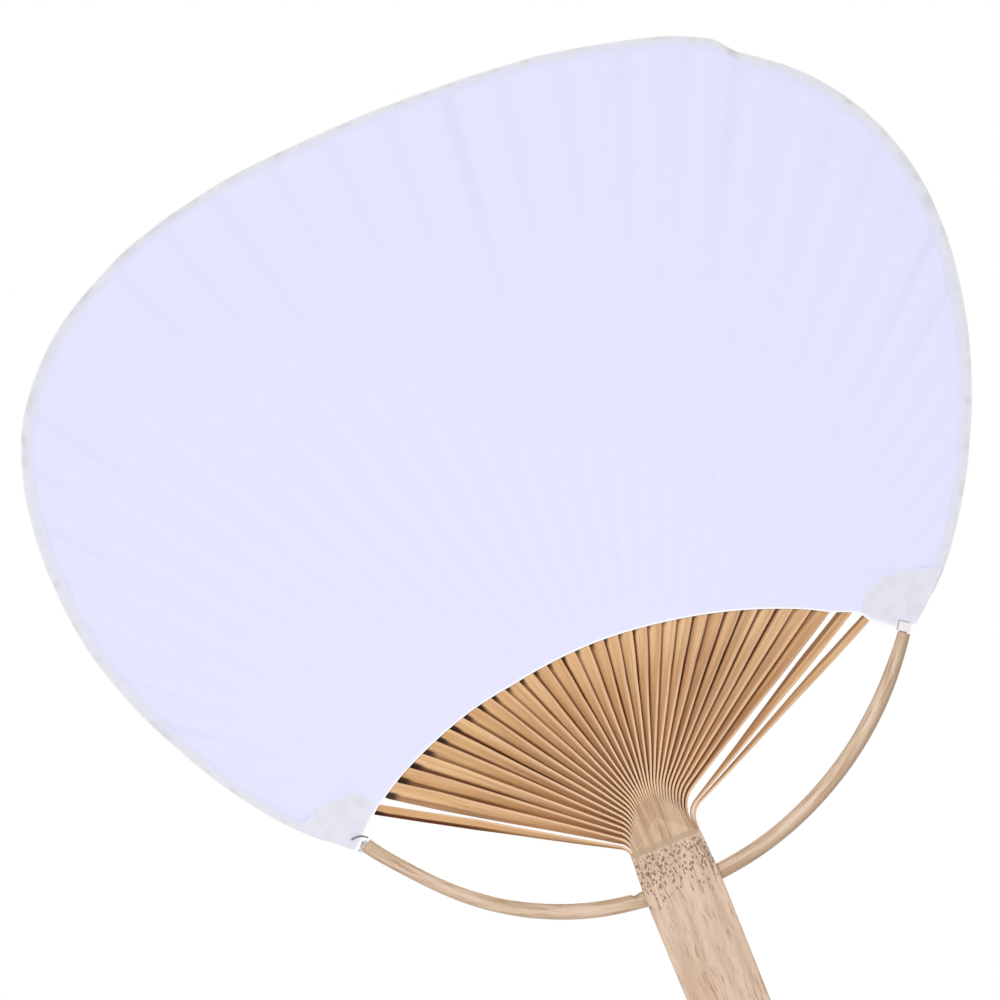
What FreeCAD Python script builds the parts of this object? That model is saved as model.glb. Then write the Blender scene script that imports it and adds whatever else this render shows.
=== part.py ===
import FreeCAD, Part
import math
import operator
import os
from types import SimpleNamespace
import Sketcher

# A paddle hand fan: a flat bamboo handle, bamboo ribs that are split from its head and fan out, a thin
# bamboo bow through the handle that braces the leaf's two lower corners, and a paper leaf on both sides.
# Millimetres. +Z runs up the handle, -Y is the front, and the origin is the middle of the butt end.
# Heights called rise are measured from the bamboo's joint line, where the handle's thick part ends.

doc = FreeCAD.newDocument("paddle_fan")
Vector = FreeCAD.Vector

# Driving dimensions: millimetres, and degrees, counts or shares where the name says so
DIMENSIONS = (
    ("handle_length", 150.0, "butt end to the joint line"),
    ("butt_width", 18.2, "handle's width at its butt end"),
    ("hole_width", 19.8, "handle's width at the bow's hole, where it is widest"),
    ("joint_width", 18.6, "handle's width at the joint line, and the head's width"),
    ("handle_thickness", 7.0, "at the handle's edges"),
    ("back_crown", 0.8, "how far the rounded back stands out in the middle"),
    ("butt_round", 4.0, "corner radius of the butt end"),
    ("edge_ease", 0.5, "rounding of the front's edges below the joint line"),
    ("ledge_height", 1.4, "slope between the thick handle and the thin head"),
    ("head_side_rise", 0.4, "head's height at its sides"),
    ("head_peak_rise", 7.5, "head's height in the middle"),
    ("bow_drop", 11.4, "joint line down to the bow's lowest point"),
    ("bow_diameter", 4.2, "round rod"),
    ("bow_inset", 1.2, "ear's corner to the rod's axis, along the ear's edge"),
    ("hole_fit", 0.05, "clearance of the bow in the handle"),
    ("tongue_width", 2.8, "flat end of the bow, between the papers"),
    ("tongue_length", 8.0, "flat end of the bow, from the rod's square shoulder"),
    ("rib_count", 33, "count of ribs"),
    ("rib_depth", 4.5, "broad side of a rib in the open, and the head's thickness"),
    ("tip_depth", 3.3, "broad side of a rib between the papers"),
    ("rib_thin_share", 0.85, "share of a rib's room at the head that its thickness takes"),
    ("rib_cover_share", 1.1, "share of a rib's room that it covers, seen from the front"),
    ("rib_fit", 0.08, "clearance between ribs that overlap at the paper"),
    ("narrow_rib_share", 0.45, "share of the full depth that the slim outermost ribs have"),
    ("narrow_left_count", 1, "count of slim ribs at the left"),
    ("narrow_right_count", 2, "count of slim ribs at the right"),
    ("bend_peak_rise", 14.0, "where the middle rib bends"),
    ("bend_side_rise", 4.5, "where the outermost ribs bend"),
    ("bend_reach", 3.0, "length of a bend, to each side of its corner"),
    ("rib_overreach", 1.1, "outermost rib's line outwards from the end of the leaf's lower arc"),
    ("spread_ease_share", 0.1, "share by which the ribs lie closer in the middle"),
    ("turn_lead", 12.0, "where a rib starts to turn nearly flat, before the paper"),
    ("level_lead", 1.5, "where a rib lies nearly flat on its neighbour, before the paper"),
    ("cover_run", 0.6, "how far a rib keeps its full width behind the paper's edge"),
    ("narrow_run", 2.0, "length over which a rib then narrows"),
    ("flat_run", 1.8, "length over which a rib then turns flat"),
    ("rib_margin", 3.0, "rib's end to the leaf's outline"),
    ("root_fit", 0.02, "clearance between the head and the ribs' roots, and between the roots"),
    ("leaf_offset", 2.5, "leaf's middle to the right of the handle's"),
    ("leaf_width", 240.0, "widest part of the leaf"),
    ("leaf_rise", 196.5, "top of the leaf"),
    ("crown_radius", 310.0, "leaf's top arc"),
    ("shoulder_radius", 66.5, "leaf's upper corners"),
    ("side_radius", 124.5, "leaf's sides below the widest part"),
    ("ear_rise", 27.5, "leaf's lower corners"),
    ("ear_width", 8.8, "ear's straight lower edge, from the corner inwards"),
    ("ear_drop", 8.2, "ear's straight lower edge, from the corner upwards"),
    ("bite_radius", 124.3, "arc of the leaf's lower edge, between the ears' straight edges"),
    ("paper_thickness", 0.2, "each sheet, patch and strip"),
    ("paper_fit", 0.03, "clearance between papers that lie on each other"),
    ("rim_width", 2.0, "folded edging's width on each face"),
    ("patch_side", 11.1, "ear patch's height along the leaf's side"),
    ("patch_lean", 4.4, "patch's inner corner outwards from the bite's end"),
    ("patch_height", 9.2, "patch's inner corner above the bite's end"),
    ("tab_width", 3.2, "small tab over the bow's right end"),
    ("tab_length", 2.4, "small tab over the bow's right end"),
    ("thread_diameter", 0.3, "binding thread between the papers"),
    ("thread_rise", 6.0, "binding thread above the leaf's lower edge"),
    ("thread_fit", 0.03, "clearance of the threads"),
    ("tie_diameter", 0.45, "thread that ties the bow's end"),
    ("tie_gap", 0.9, "ear's edge to the rod's shoulder, where the tie sits"),
    ("overrun", 1.0, "how far cuts reach past the solid"),
)

sheet = doc.addObject("Spreadsheet::Sheet", "dims")
for row, (name, number, note) in enumerate(DIMENSIONS, start=1):
    sheet.set(f"A{row}", name)
    sheet.set(f"B{row}", str(number))
    sheet.setAlias(f"B{row}", name)
    sheet.set(f"C{row}", note)
doc.recompute()


# Sizes that carry both a number and the sheet's expression for it

OPERATIONS = {"+": operator.add, "-": operator.sub, "*": operator.mul, "/": operator.truediv}


def joined(left, sign, right):
    """Result of one sum or product as a number and as an expression."""
    first, second = (part if isinstance(part, Size) else Size(part, str(part)) for part in (left, right))
    return Size(OPERATIONS[sign](first.number, second.number), f"({first.text} {sign} {second.text})")


class Size:
    """A number from the sheet, together with the expression that gives it."""

    def __init__(self, number, text):
        self.number = number
        self.text = text

    def __add__(self, other):
        return joined(self, "+", other)

    def __sub__(self, other):
        return joined(self, "-", other)

    def __mul__(self, other):
        return joined(self, "*", other)

    def __truediv__(self, other):
        return joined(self, "/", other)

    def __neg__(self):
        return joined(0, "-", self)


def root(size):
    return Size(math.sqrt(size.number), f"sqrt({size.text})")


def leg(hypotenuse, other):
    """Second short side of a right triangle."""
    return root(hypotenuse * hypotenuse - other * other)


def arc_tangent(size):
    """Angle in degrees."""
    return Size(math.degrees(math.atan(size.number)), f"atan({size.text})")


d = SimpleNamespace(**{name: Size(float(sheet.get(name)), f"dims.{name}") for name, _, _ in DIMENSIONS})
ZERO = Size(0.0, "0")

# Leaf outline, in the leaf's own frame: on its middle line, at the height of the joint line
leaf_half = d.leaf_width / 2
crown_z = d.leaf_rise - d.crown_radius
shoulder_x = leaf_half - d.shoulder_radius
shoulder_z = crown_z + leg(d.crown_radius - d.shoulder_radius, shoulder_x)
side_x = leaf_half - d.side_radius
ear_x = side_x + leg(d.side_radius, d.ear_rise - shoulder_z)
bite_half = ear_x - d.ear_width
bite_end_z = d.ear_rise + d.ear_drop
bite_z = bite_end_z - leg(d.bite_radius, bite_half)

# Ear patch: its upper corner on the leaf's side, and its inner corner
patch_top_z = d.ear_rise + d.patch_side
patch_top_x = side_x + leg(d.side_radius, patch_top_z - shoulder_z)
patch_corner_x = bite_half + d.patch_lean
patch_corner_z = bite_end_z + d.patch_height

# Bow: an arc from its lowest point to a shoulder just outside each ear's edge
ear_length = root(d.ear_width * d.ear_width + d.ear_drop * d.ear_drop)
ear_across = d.ear_width / ear_length
ear_up = d.ear_drop / ear_length
bow_end_x = ear_x - d.bow_inset * ear_across - d.tie_gap * ear_up
bow_end_z = d.ear_rise + d.bow_inset * ear_up - d.tie_gap * ear_across
bow_height = bow_end_z + d.bow_drop
bow_bend_radius = (bow_end_x * bow_end_x + bow_height * bow_height) / (bow_height * 2)
bow_sweep = arc_tangent(bow_height / bow_end_x) * 2
bow_lean = arc_tangent((bow_bend_radius - bow_height) / bow_end_x)

# Layers from the ribs' middle plane outwards
root_pitch = d.joint_width / d.rib_count
root_thickness = root_pitch - d.root_fit
rib_thickness = root_pitch * d.rib_thin_share
thread_y = rib_thickness / 2 + d.thread_fit + d.thread_diameter / 2
paper_in = thread_y + d.thread_diameter / 2 + d.thread_fit
paper_out = paper_in + d.paper_thickness
patch_in = paper_out + d.paper_fit
patch_out = patch_in + d.paper_thickness
tab_in = patch_out + d.paper_fit


# Helpers for sketches and bodies

START, END, CENTRE = range(1, 4)
ACROSS_AXIS, UP_AXIS = range(-1, -3, -1)
ORIGIN_POINT = (ACROSS_AXIS, START)
FRONT = Vector(0, -1, 0)
BACK = Vector(0, 1, 0)
RIGHT = Vector(1, 0, 0)
UP = Vector(0, 0, 1)


def new_body(name):
    body = doc.addObject("PartDesign::Body", name)
    body.Label = name
    return body


def on_leaf(item):
    """Puts an object in the leaf's frame."""
    item.setExpression("Placement.Base.x", d.leaf_offset.text)
    item.setExpression("Placement.Base.z", d.handle_length.text)


def new_sketch(body, role, name, offset=None):
    """Sketch on one of the body's own planes, moved along the plane's normal by offset."""
    plane = next(feature for feature in body.Origin.OriginFeatures if feature.Role == role)
    sketch = body.newObject("Sketcher::SketchObject", name)
    sketch.AttachmentSupport = [(plane, "")]
    sketch.MapMode = "FlatFace"
    if offset:
        sketch.setExpression("AttachmentOffset.Base.z", offset.text)
    return sketch


def bind(sketch, size, kind, *places):
    """Adds a dimension and ties it to the sheet."""
    index = sketch.addConstraint(Sketcher.Constraint(kind, *places, size.number))
    sketch.setExpression(f"Constraints[{index}]", size.text)


def fix_point(sketch, item, point, across=None, up=None):
    """Dimensions a point from the origin, or lays it on an axis where a size is zero."""
    for size, kind, axis in ((across, "DistanceX", UP_AXIS), (up, "DistanceY", ACROSS_AXIS)):
        if size is ZERO:
            sketch.addConstraint(Sketcher.Constraint("PointOnObject", item, point, axis))
        elif size is not None:
            bind(sketch, size, kind, *ORIGIN_POINT, item, point)


def flat(across, up):
    """Point of a sketch."""
    return Vector(across.number, up.number, 0)


def add_line(sketch, start, end):
    return sketch.addGeometry(Part.LineSegment(start, end))


def add_arc(sketch, centre, radius, start_angle, end_angle):
    """Arc with its radius tied to the sheet."""
    circle = Part.Circle(flat(*centre), UP, radius.number)
    item = sketch.addGeometry(Part.ArcOfCircle(circle, start_angle, end_angle))
    bind(sketch, radius, "Radius", item)
    return item


def join(sketch, first, first_point, second, second_point, kind="Coincident"):
    sketch.addConstraint(Sketcher.Constraint(kind, first, first_point, second, second_point))


def add_polygon(sketch, corners):
    """Closed loop of straight lines through dimensioned corners."""
    points = [flat(*corner) for corner in corners]
    lines = [add_line(sketch, start, end) for start, end in zip(points, points[1:] + points[:1])]
    for line, following, corner in zip(lines, lines[1:] + lines[:1], corners):
        join(sketch, line, END, following, START)
        fix_point(sketch, line, START, *corner)


def add_circle(sketch, centre, radius):
    item = sketch.addGeometry(Part.Circle(flat(*centre), UP, radius.number))
    bind(sketch, radius, "Radius", item)
    fix_point(sketch, item, CENTRE, *centre)


def add_pad(body, sketch, length, symmetric=False):
    pad = body.newObject("PartDesign::Pad", f"{sketch.Name}_pad")
    pad.Profile = sketch
    pad.setExpression("Length", length.text)
    pad.SideType = "Symmetric" if symmetric else "One side"
    return pad


def add_pocket(body, sketch, length=None, symmetric=True, reverse=False):
    """Cut of a given length, or right through the solid."""
    pocket = body.newObject("PartDesign::Pocket", f"{sketch.Name}_pocket")
    pocket.Profile = sketch
    pocket.SideType = "Symmetric" if symmetric else "One side"
    pocket.Reversed = reverse
    if length:
        pocket.setExpression("Length", length.text)
    else:
        pocket.Type = "ThroughAll"
    return pocket


def mirrored(source, name, normal, across=None):
    """Mirror image of a piece as a piece of its own."""
    mirror = doc.addObject("Part::Mirroring", name)
    mirror.Label = name
    mirror.Source = source
    mirror.Normal = normal
    if across:
        mirror.setExpression("Base.x", across.text)
    return mirror


# Handle

def make_handle():
    body = new_body("handle")
    hole_sag = (d.hole_width / 2 + d.leaf_offset) * (d.hole_width / 2 + d.leaf_offset) / (bow_bend_radius * 2)
    hole_z = d.handle_length - d.bow_drop + hole_sag / 2
    head_side_z = d.handle_length + d.head_side_rise
    head_peak_z = d.handle_length + d.head_peak_rise
    front_y = d.handle_thickness / 2
    back_y = front_y + d.back_crown

    outline = new_sketch(body, "XZ_Plane", "handle_outline", -back_y)
    right = [(d.butt_width / 2, ZERO), (d.hole_width / 2, hole_z), (d.joint_width / 2, d.handle_length),
             (d.joint_width / 2, head_side_z)]
    left = [(-across, up) for across, up in reversed(right)]
    add_polygon(outline, right + [(ZERO, head_peak_z)] + left)
    add_pad(body, outline, front_y + back_y)

    # The back is the bamboo's rounded outside
    back = new_sketch(body, "XY_Plane", "handle_back")
    crown_half = d.hole_width / 2 + d.overrun
    crown_radius = (crown_half * crown_half + d.back_crown * d.back_crown) / (d.back_crown * 2)
    crown_centre = (ZERO, back_y - crown_radius)
    crown_turn = math.acos(crown_half.number / crown_radius.number)
    crown = add_arc(back, crown_centre, crown_radius, crown_turn, math.pi - crown_turn)
    fix_point(back, crown, CENTRE, *crown_centre)
    fix_point(back, crown, START, crown_half)
    fix_point(back, crown, END, -crown_half)
    corners = [(crown_half, front_y), (crown_half, back_y + d.overrun), (-crown_half, back_y + d.overrun),
               (-crown_half, front_y)]
    points = [flat(*corner) for corner in corners]
    lines = [add_line(back, start, end) for start, end in zip(points, points[1:])]
    join(back, crown, START, lines[0], START)
    join(back, lines[0], END, lines[1], START)
    join(back, lines[1], END, lines[2], START)
    join(back, lines[2], END, crown, END)
    fix_point(back, lines[1], START, *corners[1])
    fix_point(back, lines[1], END, *corners[2])
    add_pocket(body, back, symmetric=False, reverse=True)

    # Above the joint line the bamboo is pared down to the ribs' depth
    head = new_sketch(body, "YZ_Plane", "handle_head")
    head_y = d.rib_depth / 2
    ledge_z = d.handle_length + d.ledge_height
    above_z = head_peak_z + d.overrun
    before_y = -front_y - d.overrun
    behind_y = back_y + d.overrun
    add_polygon(head, [(before_y, d.handle_length), (-front_y, d.handle_length), (-head_y, ledge_z),
                       (-head_y, above_z), (before_y, above_z)])
    add_polygon(head, [(head_y, ledge_z), (back_y, d.handle_length), (behind_y, d.handle_length),
                       (behind_y, above_z), (head_y, above_z)])
    add_pocket(body, head)

    hole = new_sketch(body, "YZ_Plane", "handle_hole")
    add_circle(hole, (ZERO, hole_z), d.bow_diameter / 2 + hole_sag / 2 + d.hole_fit)
    add_pocket(body, hole)
    doc.recompute()

    near = d.edge_ease.number / 2
    add_edge_round(body, d.butt_round, lambda box: box.ZMax < near and box.XLength < near)
    doc.recompute()
    front_reach = near - front_y.number
    joint_reach = d.handle_length.number - near
    add_edge_round(body, d.edge_ease, lambda box: box.YMax < front_reach and box.ZMin < joint_reach)
    return body


def add_edge_round(body, radius, chosen):
    """Rounds the edges of the body whose boxes are chosen."""
    base = body.Tip
    names = [f"Edge{k}" for k, edge in enumerate(base.Shape.Edges, start=1) if chosen(edge.BoundBox)]
    fillet = body.newObject("PartDesign::Fillet", f"{body.Name}_round")
    fillet.Base = (base, names)
    fillet.setExpression("Radius", radius.text)
    return fillet


# Bow

def at_bow_end(item):
    """Frame of the bow's right end: up is the rod's own direction there."""
    item.Placement = FreeCAD.Placement(Vector(), FreeCAD.Rotation(BACK, bow_lean.number))
    item.setExpression("Placement.Base.x", (d.leaf_offset + bow_end_x).text)
    item.setExpression("Placement.Base.z", (d.handle_length + bow_end_z).text)
    item.setExpression("Placement.Rotation.Angle", bow_lean.text)


def make_bow():
    body = new_body("bow")
    profile = new_sketch(body, "YZ_Plane", "bow_profile")
    add_circle(profile, (ZERO, -d.bow_drop), d.bow_diameter / 2)
    axis_z = bow_bend_radius - d.bow_drop
    axis = add_line(profile, flat(-d.bow_diameter, axis_z), flat(d.bow_diameter, axis_z))
    profile.setConstruction(axis, True)
    fix_point(profile, axis, START, -d.bow_diameter, axis_z)
    fix_point(profile, axis, END, d.bow_diameter, axis_z)
    rod = body.newObject("PartDesign::Revolution", "bow_rod")
    rod.Profile = profile
    rod.ReferenceAxis = (profile, ["Axis0"])
    rod.Midplane = True
    rod.setExpression("Angle", (bow_sweep * 2).text)
    doc.recompute()

    tongue = new_sketch(body, "XZ_Plane", "bow_tongue")
    lean = FreeCAD.Rotation(-UP, bow_lean.number)
    tongue.AttachmentOffset = FreeCAD.Placement(flat(bow_end_x, bow_end_z), lean)
    tongue.setExpression("AttachmentOffset.Base.x", bow_end_x.text)
    tongue.setExpression("AttachmentOffset.Base.y", bow_end_z.text)
    tongue.setExpression("AttachmentOffset.Rotation.Angle", bow_lean.text)
    half = d.tongue_width / 2
    tip = d.tongue_length
    add_polygon(tongue, [(-half, -d.overrun), (half, -d.overrun), (half, tip), (-half, tip)])
    pad = add_pad(body, tongue, rib_thickness, symmetric=True)
    doc.recompute()
    both = body.newObject("PartDesign::Mirrored", "bow_tongues")
    both.Originals = [pad]
    middle = next(feature for feature in body.Origin.OriginFeatures if feature.Role == "YZ_Plane")
    both.MirrorPlane = (middle, [""])
    body.Tip = both
    on_leaf(body)
    return body


# Ribs

def middle_share(index):
    """Place of a rib from -1 at the left to 1 at the right."""
    return 2 * index / (d.rib_count.number - 1) - 1


def rib_line(index):
    """Corner of a rib's bend, its direction from there, and the distance to the leaf's lower edge."""
    share = middle_share(index)
    across = share * root_pitch.number * (d.rib_count.number - 1) / 2
    up = d.bend_peak_rise.number - (d.bend_peak_rise.number - d.bend_side_rise.number) * share ** 2
    corner = Vector(across, 0, up)
    ease = d.spread_ease_share.number
    radius = d.bite_radius.number
    spread = math.asin((bite_half.number + d.rib_overreach.number) / radius)
    turn = spread * ((1 - ease) * share + ease * share ** 3)
    aim = Vector(d.leaf_offset.number + radius * math.sin(turn), 0, bite_z.number + radius * math.cos(turn))
    run = aim - corner
    return corner, run / run.Length, run.Length


def rib_room(index, distance):
    """Distance from a point of a rib to the line of its nearer neighbour."""
    corner, direction, _ = rib_line(index)
    point = corner + direction * distance
    rooms = []
    for neighbour in (index - 1, index + 1):
        other_corner, other_direction, _ = rib_line(neighbour)
        rooms.append((point - other_corner).cross(other_direction).Length)
    return min(rooms)


def leaf_reach(corner, direction):
    """Distance along a rib's line to the leaf's outline."""
    start = corner - Vector(d.leaf_offset.number, 0, 0)
    crown_half_turn = math.atan2(shoulder_x.number, shoulder_z.number - crown_z.number)
    ear_turn = math.atan2(ear_x.number - side_x.number, d.ear_rise.number - shoulder_z.number)
    side = math.copysign(1, direction.x)
    arcs = (
        (ZERO, crown_z, d.crown_radius, 0, crown_half_turn),
        (shoulder_x, shoulder_z, d.shoulder_radius, crown_half_turn, math.pi / 2),
        (side_x, shoulder_z, d.side_radius, math.pi / 2, ear_turn),
    )
    for centre_x, centre_z, arc_radius, low, high in arcs:
        centre = Vector(side * centre_x.number, 0, centre_z.number)
        radius = arc_radius.number
        along = direction.dot(centre - start)
        miss = (start + direction * along - centre).Length
        if miss < radius:
            distance = along + math.sqrt(radius ** 2 - miss ** 2)
            hit = start + direction * distance - centre
            if low <= abs(math.atan2(hit.x, hit.z)) <= high:
                return distance
    raise ValueError("a rib misses the leaf's outline")


def section(centre, direction, twist, depth, thickness=rib_thickness.number):
    """Corners of a cut across a rib: edge on to the front at no twist, flat to it at a quarter turn."""
    across = Vector(direction.z, 0, -direction.x)
    broad = (across * math.sin(twist) + FRONT * math.cos(twist)) * (depth / 2)
    thin = (across * math.cos(twist) - FRONT * math.sin(twist)) * (thickness / 2)
    return [centre + broad + thin, centre - broad + thin, centre - broad - thin, centre + broad - thin]


def head_top(across):
    """Height of the head's sloping top."""
    slope = (d.head_peak_rise.number - d.head_side_rise.number) / (d.joint_width.number / 2)
    return d.head_peak_rise.number - slope * abs(across)


def rib_foot(corner, depth):
    """Corners of a rib's foot, cut to the slope of the head's top, or level on its peak."""
    half = root_thickness.number / 2
    on_peak = abs(corner.x) < half
    corners = []
    for side, front in ((1, 1), (1, -1), (-1, -1), (-1, 1)):
        across = corner.x + side * half
        height = head_top(0 if on_peak else across) + d.root_fit.number
        corners.append(Vector(across, -front * depth / 2, height))
    return corners


def closed_loop(corners):
    return Part.makePolygon(corners + corners[:1])


def closed_solid(faces):
    """Solid inside faces that meet edge to edge."""
    shell = Part.Shell(faces)
    shell.sewShape()
    solid = Part.Solid(shell)
    if solid.Volume < 0:
        solid.reverse()
    return solid


def side_facets(near, near_next, far_next, far):
    """Flat facets of a strip's side: round a middle point if it is well twisted, else folded inwards."""
    fold_middle = (near_next + far) / 2
    other_middle = (near + far_next) / 2
    if (fold_middle - other_middle).Length < rib_thickness.number / 2:
        return [[near, near_next, far], [near_next, far_next, far]]
    middle = (fold_middle + other_middle) / 2
    corners = [near, near_next, far_next, far]
    return [[corners[k - 1], corners[k], middle] for k in range(len(corners))]


def strip_solid(sections):
    """Strip through the corners of its cuts."""
    facets = [sections[0], sections[-1]]
    for near, far in zip(sections, sections[1:]):
        for corner in range(len(near)):
            facets += side_facets(near[corner], near[corner - 1], far[corner - 1], far[corner])
    return closed_solid([Part.Face(closed_loop(corners)) for corners in facets]).removeSplitter()


BEND_STEP_SHARES = (0, 0.35, 0.7)
TWIST_STEP_COUNT = 4


def rib_depth(index):
    """Full depth, or less at the slim outermost ribs."""
    slim = index < d.narrow_left_count.number or index >= d.rib_count.number - d.narrow_right_count.number
    return d.rib_depth.number * (d.narrow_rib_share.number if slim else 1)


def cover_turn(shown, depth, thickness):
    """Twist at which a rib looks as wide as asked, between edge on and its full diagonal."""
    diagonal = math.hypot(depth, thickness)
    return math.asin(min(max(shown, thickness) / diagonal, 1)) - math.atan2(thickness, depth)


def make_rib(index):
    """Strip that leaves the head edge on, bends to its place in the fan and turns flat in the leaf."""
    depth = rib_depth(index)
    corner, direction, length = rib_line(index)
    reach = d.bend_reach.number
    slim_share = depth / d.rib_depth.number
    cover = d.rib_cover_share.number * slim_share
    sections = [rib_foot(corner, depth)]
    for step in BEND_STEP_SHARES:
        before, after = (1 - step) ** 2, step ** 2
        centre = corner - UP * (reach * before) + direction * (reach * after)
        heading = UP * (1 - step) + direction * step
        thickness = root_thickness.number * (1 - step) + rib_thickness.number * step
        room = root_pitch.number * (1 - step) + rib_room(index, reach) * step
        twist = cover_turn(cover * room, depth, thickness) if step else 0
        sections.append(section(centre, heading / heading.Length, twist, depth, thickness))

    # The twist lets a rib cover a set share of the room that it has
    twist_end = length - d.turn_lead.number
    for step in range(TWIST_STEP_COUNT):
        distance = reach + (twist_end - reach) * step / (TWIST_STEP_COUNT - 1)
        twist = cover_turn(cover * rib_room(index, distance), depth, rib_thickness.number)
        sections.append(section(corner + direction * distance, direction, twist, depth))

    # At the paper's edge each rib lies nearly flat on the next, and behind it all lie side by side
    level_start = length - d.level_lead.number
    lap_turn = math.acos((rib_thickness.number + d.rib_fit.number) / rib_room(index, level_start))
    edge_depth = min(cover * rib_room(index, length), depth)
    tip_depth = d.tip_depth.number * slim_share
    full_end = length + d.cover_run.number
    narrow_start = full_end + d.narrow_run.number
    flat_start = narrow_start + d.flat_run.number
    tip = leaf_reach(corner, direction) - d.rib_margin.number
    half_way = ((twist_end + level_start) / 2, (twist + lap_turn) / 2, (depth + edge_depth) / 2)
    for distance, twist, width in (half_way, (level_start, lap_turn, edge_depth),
                                   (full_end, lap_turn, edge_depth), (narrow_start, lap_turn, tip_depth),
                                   (flat_start, math.pi / 2, tip_depth), (tip, math.pi / 2, tip_depth)):
        sections.append(section(corner + direction * distance, direction, twist, width))
    rib = doc.addObject("Part::Feature", f"rib_{index + 1:02d}")
    rib.Shape = strip_solid(sections)
    rib.setExpression("Placement.Base.z", d.handle_length.text)
    return rib


# Leaf

def add_outline(sketch, offset, end_rise):
    """Leaf's edge from the right ear over the top to the left ear, moved outwards by offset."""
    end_turn = math.asin((end_rise.number - shoulder_z.number) / (d.side_radius.number + offset.number))
    crown_turn = math.atan2(shoulder_z.number - crown_z.number, shoulder_x.number)
    radii = (d.side_radius, d.shoulder_radius, d.crown_radius)
    side_size, shoulder_size, crown_size = (radius + offset for radius in radii)
    right_side = add_arc(sketch, (side_x, shoulder_z), side_size, end_turn, 0)
    right_shoulder = add_arc(sketch, (shoulder_x, shoulder_z), shoulder_size, 0, crown_turn)
    crown = add_arc(sketch, (ZERO, crown_z), crown_size, crown_turn, math.pi - crown_turn)
    left_shoulder = add_arc(sketch, (-shoulder_x, shoulder_z), shoulder_size, math.pi - crown_turn, math.pi)
    left_side = add_arc(sketch, (-side_x, shoulder_z), side_size, math.pi, math.pi - end_turn)
    chain = [right_side, right_shoulder, crown, left_shoulder, left_side]
    for arc, following in zip(chain, chain[1:]):
        join(sketch, arc, END, following, START, "Tangent")
    fix_point(sketch, crown, CENTRE, ZERO, crown_z)
    fix_point(sketch, right_shoulder, CENTRE, shoulder_x)
    fix_point(sketch, left_shoulder, CENTRE, -shoulder_x)
    for side, shoulder in ((right_side, right_shoulder), (left_side, left_shoulder)):
        sketch.addConstraint(Sketcher.Constraint("Horizontal", side, CENTRE, shoulder, CENTRE))
    fix_point(sketch, right_side, START, up=end_rise)
    fix_point(sketch, left_side, END, up=end_rise)
    return right_side, left_side


def make_front_paper():
    body = new_body("front_paper")
    sketch = new_sketch(body, "XZ_Plane", "paper_outline", paper_in)
    right_side, left_side = add_outline(sketch, ZERO, d.ear_rise)
    bite_turn = math.acos(bite_half.number / d.bite_radius.number)
    bite = add_arc(sketch, (ZERO, bite_z), d.bite_radius, bite_turn, math.pi - bite_turn)
    fix_point(sketch, bite, CENTRE, ZERO, bite_z)
    fix_point(sketch, bite, START, bite_half)
    fix_point(sketch, bite, END, -bite_half)
    right_ear = add_line(sketch, flat(bite_half, bite_end_z), flat(ear_x, d.ear_rise))
    left_ear = add_line(sketch, flat(-bite_half, bite_end_z), flat(-ear_x, d.ear_rise))
    join(sketch, right_ear, START, bite, START)
    join(sketch, right_ear, END, right_side, START)
    join(sketch, left_ear, START, bite, END)
    join(sketch, left_ear, END, left_side, END)
    add_pad(body, sketch, d.paper_thickness)
    on_leaf(body)
    return body


def add_band(sketch, outer, inner, outer_end, inner_end):
    """Closed band between two offsets of the leaf's edge, with straight ends."""
    outer_right, outer_left = add_outline(sketch, outer, outer_end)
    inner_right, inner_left = add_outline(sketch, inner, inner_end)
    for first, second, point in ((outer_right, inner_right, START), (outer_left, inner_left, END)):
        line = add_line(sketch, sketch.getPoint(first, point), sketch.getPoint(second, point))
        join(sketch, line, START, first, point)
        join(sketch, line, END, second, point)


def make_rim_strip():
    """Paper edging folded over both sheets, from one ear patch over the top to the other."""
    body = new_body("rim_strip")
    outer = d.paper_fit + d.paper_thickness
    inner = -d.rim_width
    patch_slope = (patch_corner_z - patch_top_z) / (patch_top_x - patch_corner_x)
    outer_end = patch_top_z + d.paper_fit
    side_drop = shoulder_z - patch_top_z
    end_reach = leg(d.side_radius, side_drop) + patch_slope * side_drop
    inner_end = outer_end + patch_slope * (outer - inner) * d.side_radius / end_reach
    band = new_sketch(body, "XZ_Plane", "rim_band")
    add_band(band, outer, inner, outer_end, inner_end)
    add_pad(body, band, patch_out * 2, symmetric=True)
    doc.recompute()
    slot = new_sketch(body, "XZ_Plane", "rim_slot")
    add_band(slot, d.paper_fit, inner - d.overrun, outer_end - d.overrun, outer_end - d.overrun)
    add_pocket(body, slot, patch_in * 2)
    on_leaf(body)
    return body


def make_ear_patch():
    """Paper patch over the right ear's front."""
    body = new_body("ear_patch_right_front")
    sketch = new_sketch(body, "XZ_Plane", "patch_outline", patch_in)
    low_turn, high_turn = (math.asin((rise.number - shoulder_z.number) / d.side_radius.number)
                           for rise in (d.ear_rise, patch_top_z))
    side = add_arc(sketch, (side_x, shoulder_z), d.side_radius, low_turn, high_turn)
    fix_point(sketch, side, CENTRE, side_x, shoulder_z)
    fix_point(sketch, side, START, up=d.ear_rise)
    fix_point(sketch, side, END, up=patch_top_z)
    corners = [(patch_top_x, patch_top_z), (patch_corner_x, patch_corner_z), (bite_half, bite_end_z),
               (ear_x, d.ear_rise)]
    points = [flat(*corner) for corner in corners]
    top, inner, lower = (add_line(sketch, start, end) for start, end in zip(points, points[1:]))
    join(sketch, side, END, top, START)
    join(sketch, top, END, inner, START)
    join(sketch, inner, END, lower, START)
    join(sketch, lower, END, side, START)
    fix_point(sketch, inner, START, *corners[1])
    fix_point(sketch, inner, END, *corners[2])
    add_pad(body, sketch, d.paper_thickness)
    on_leaf(body)
    return body


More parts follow.
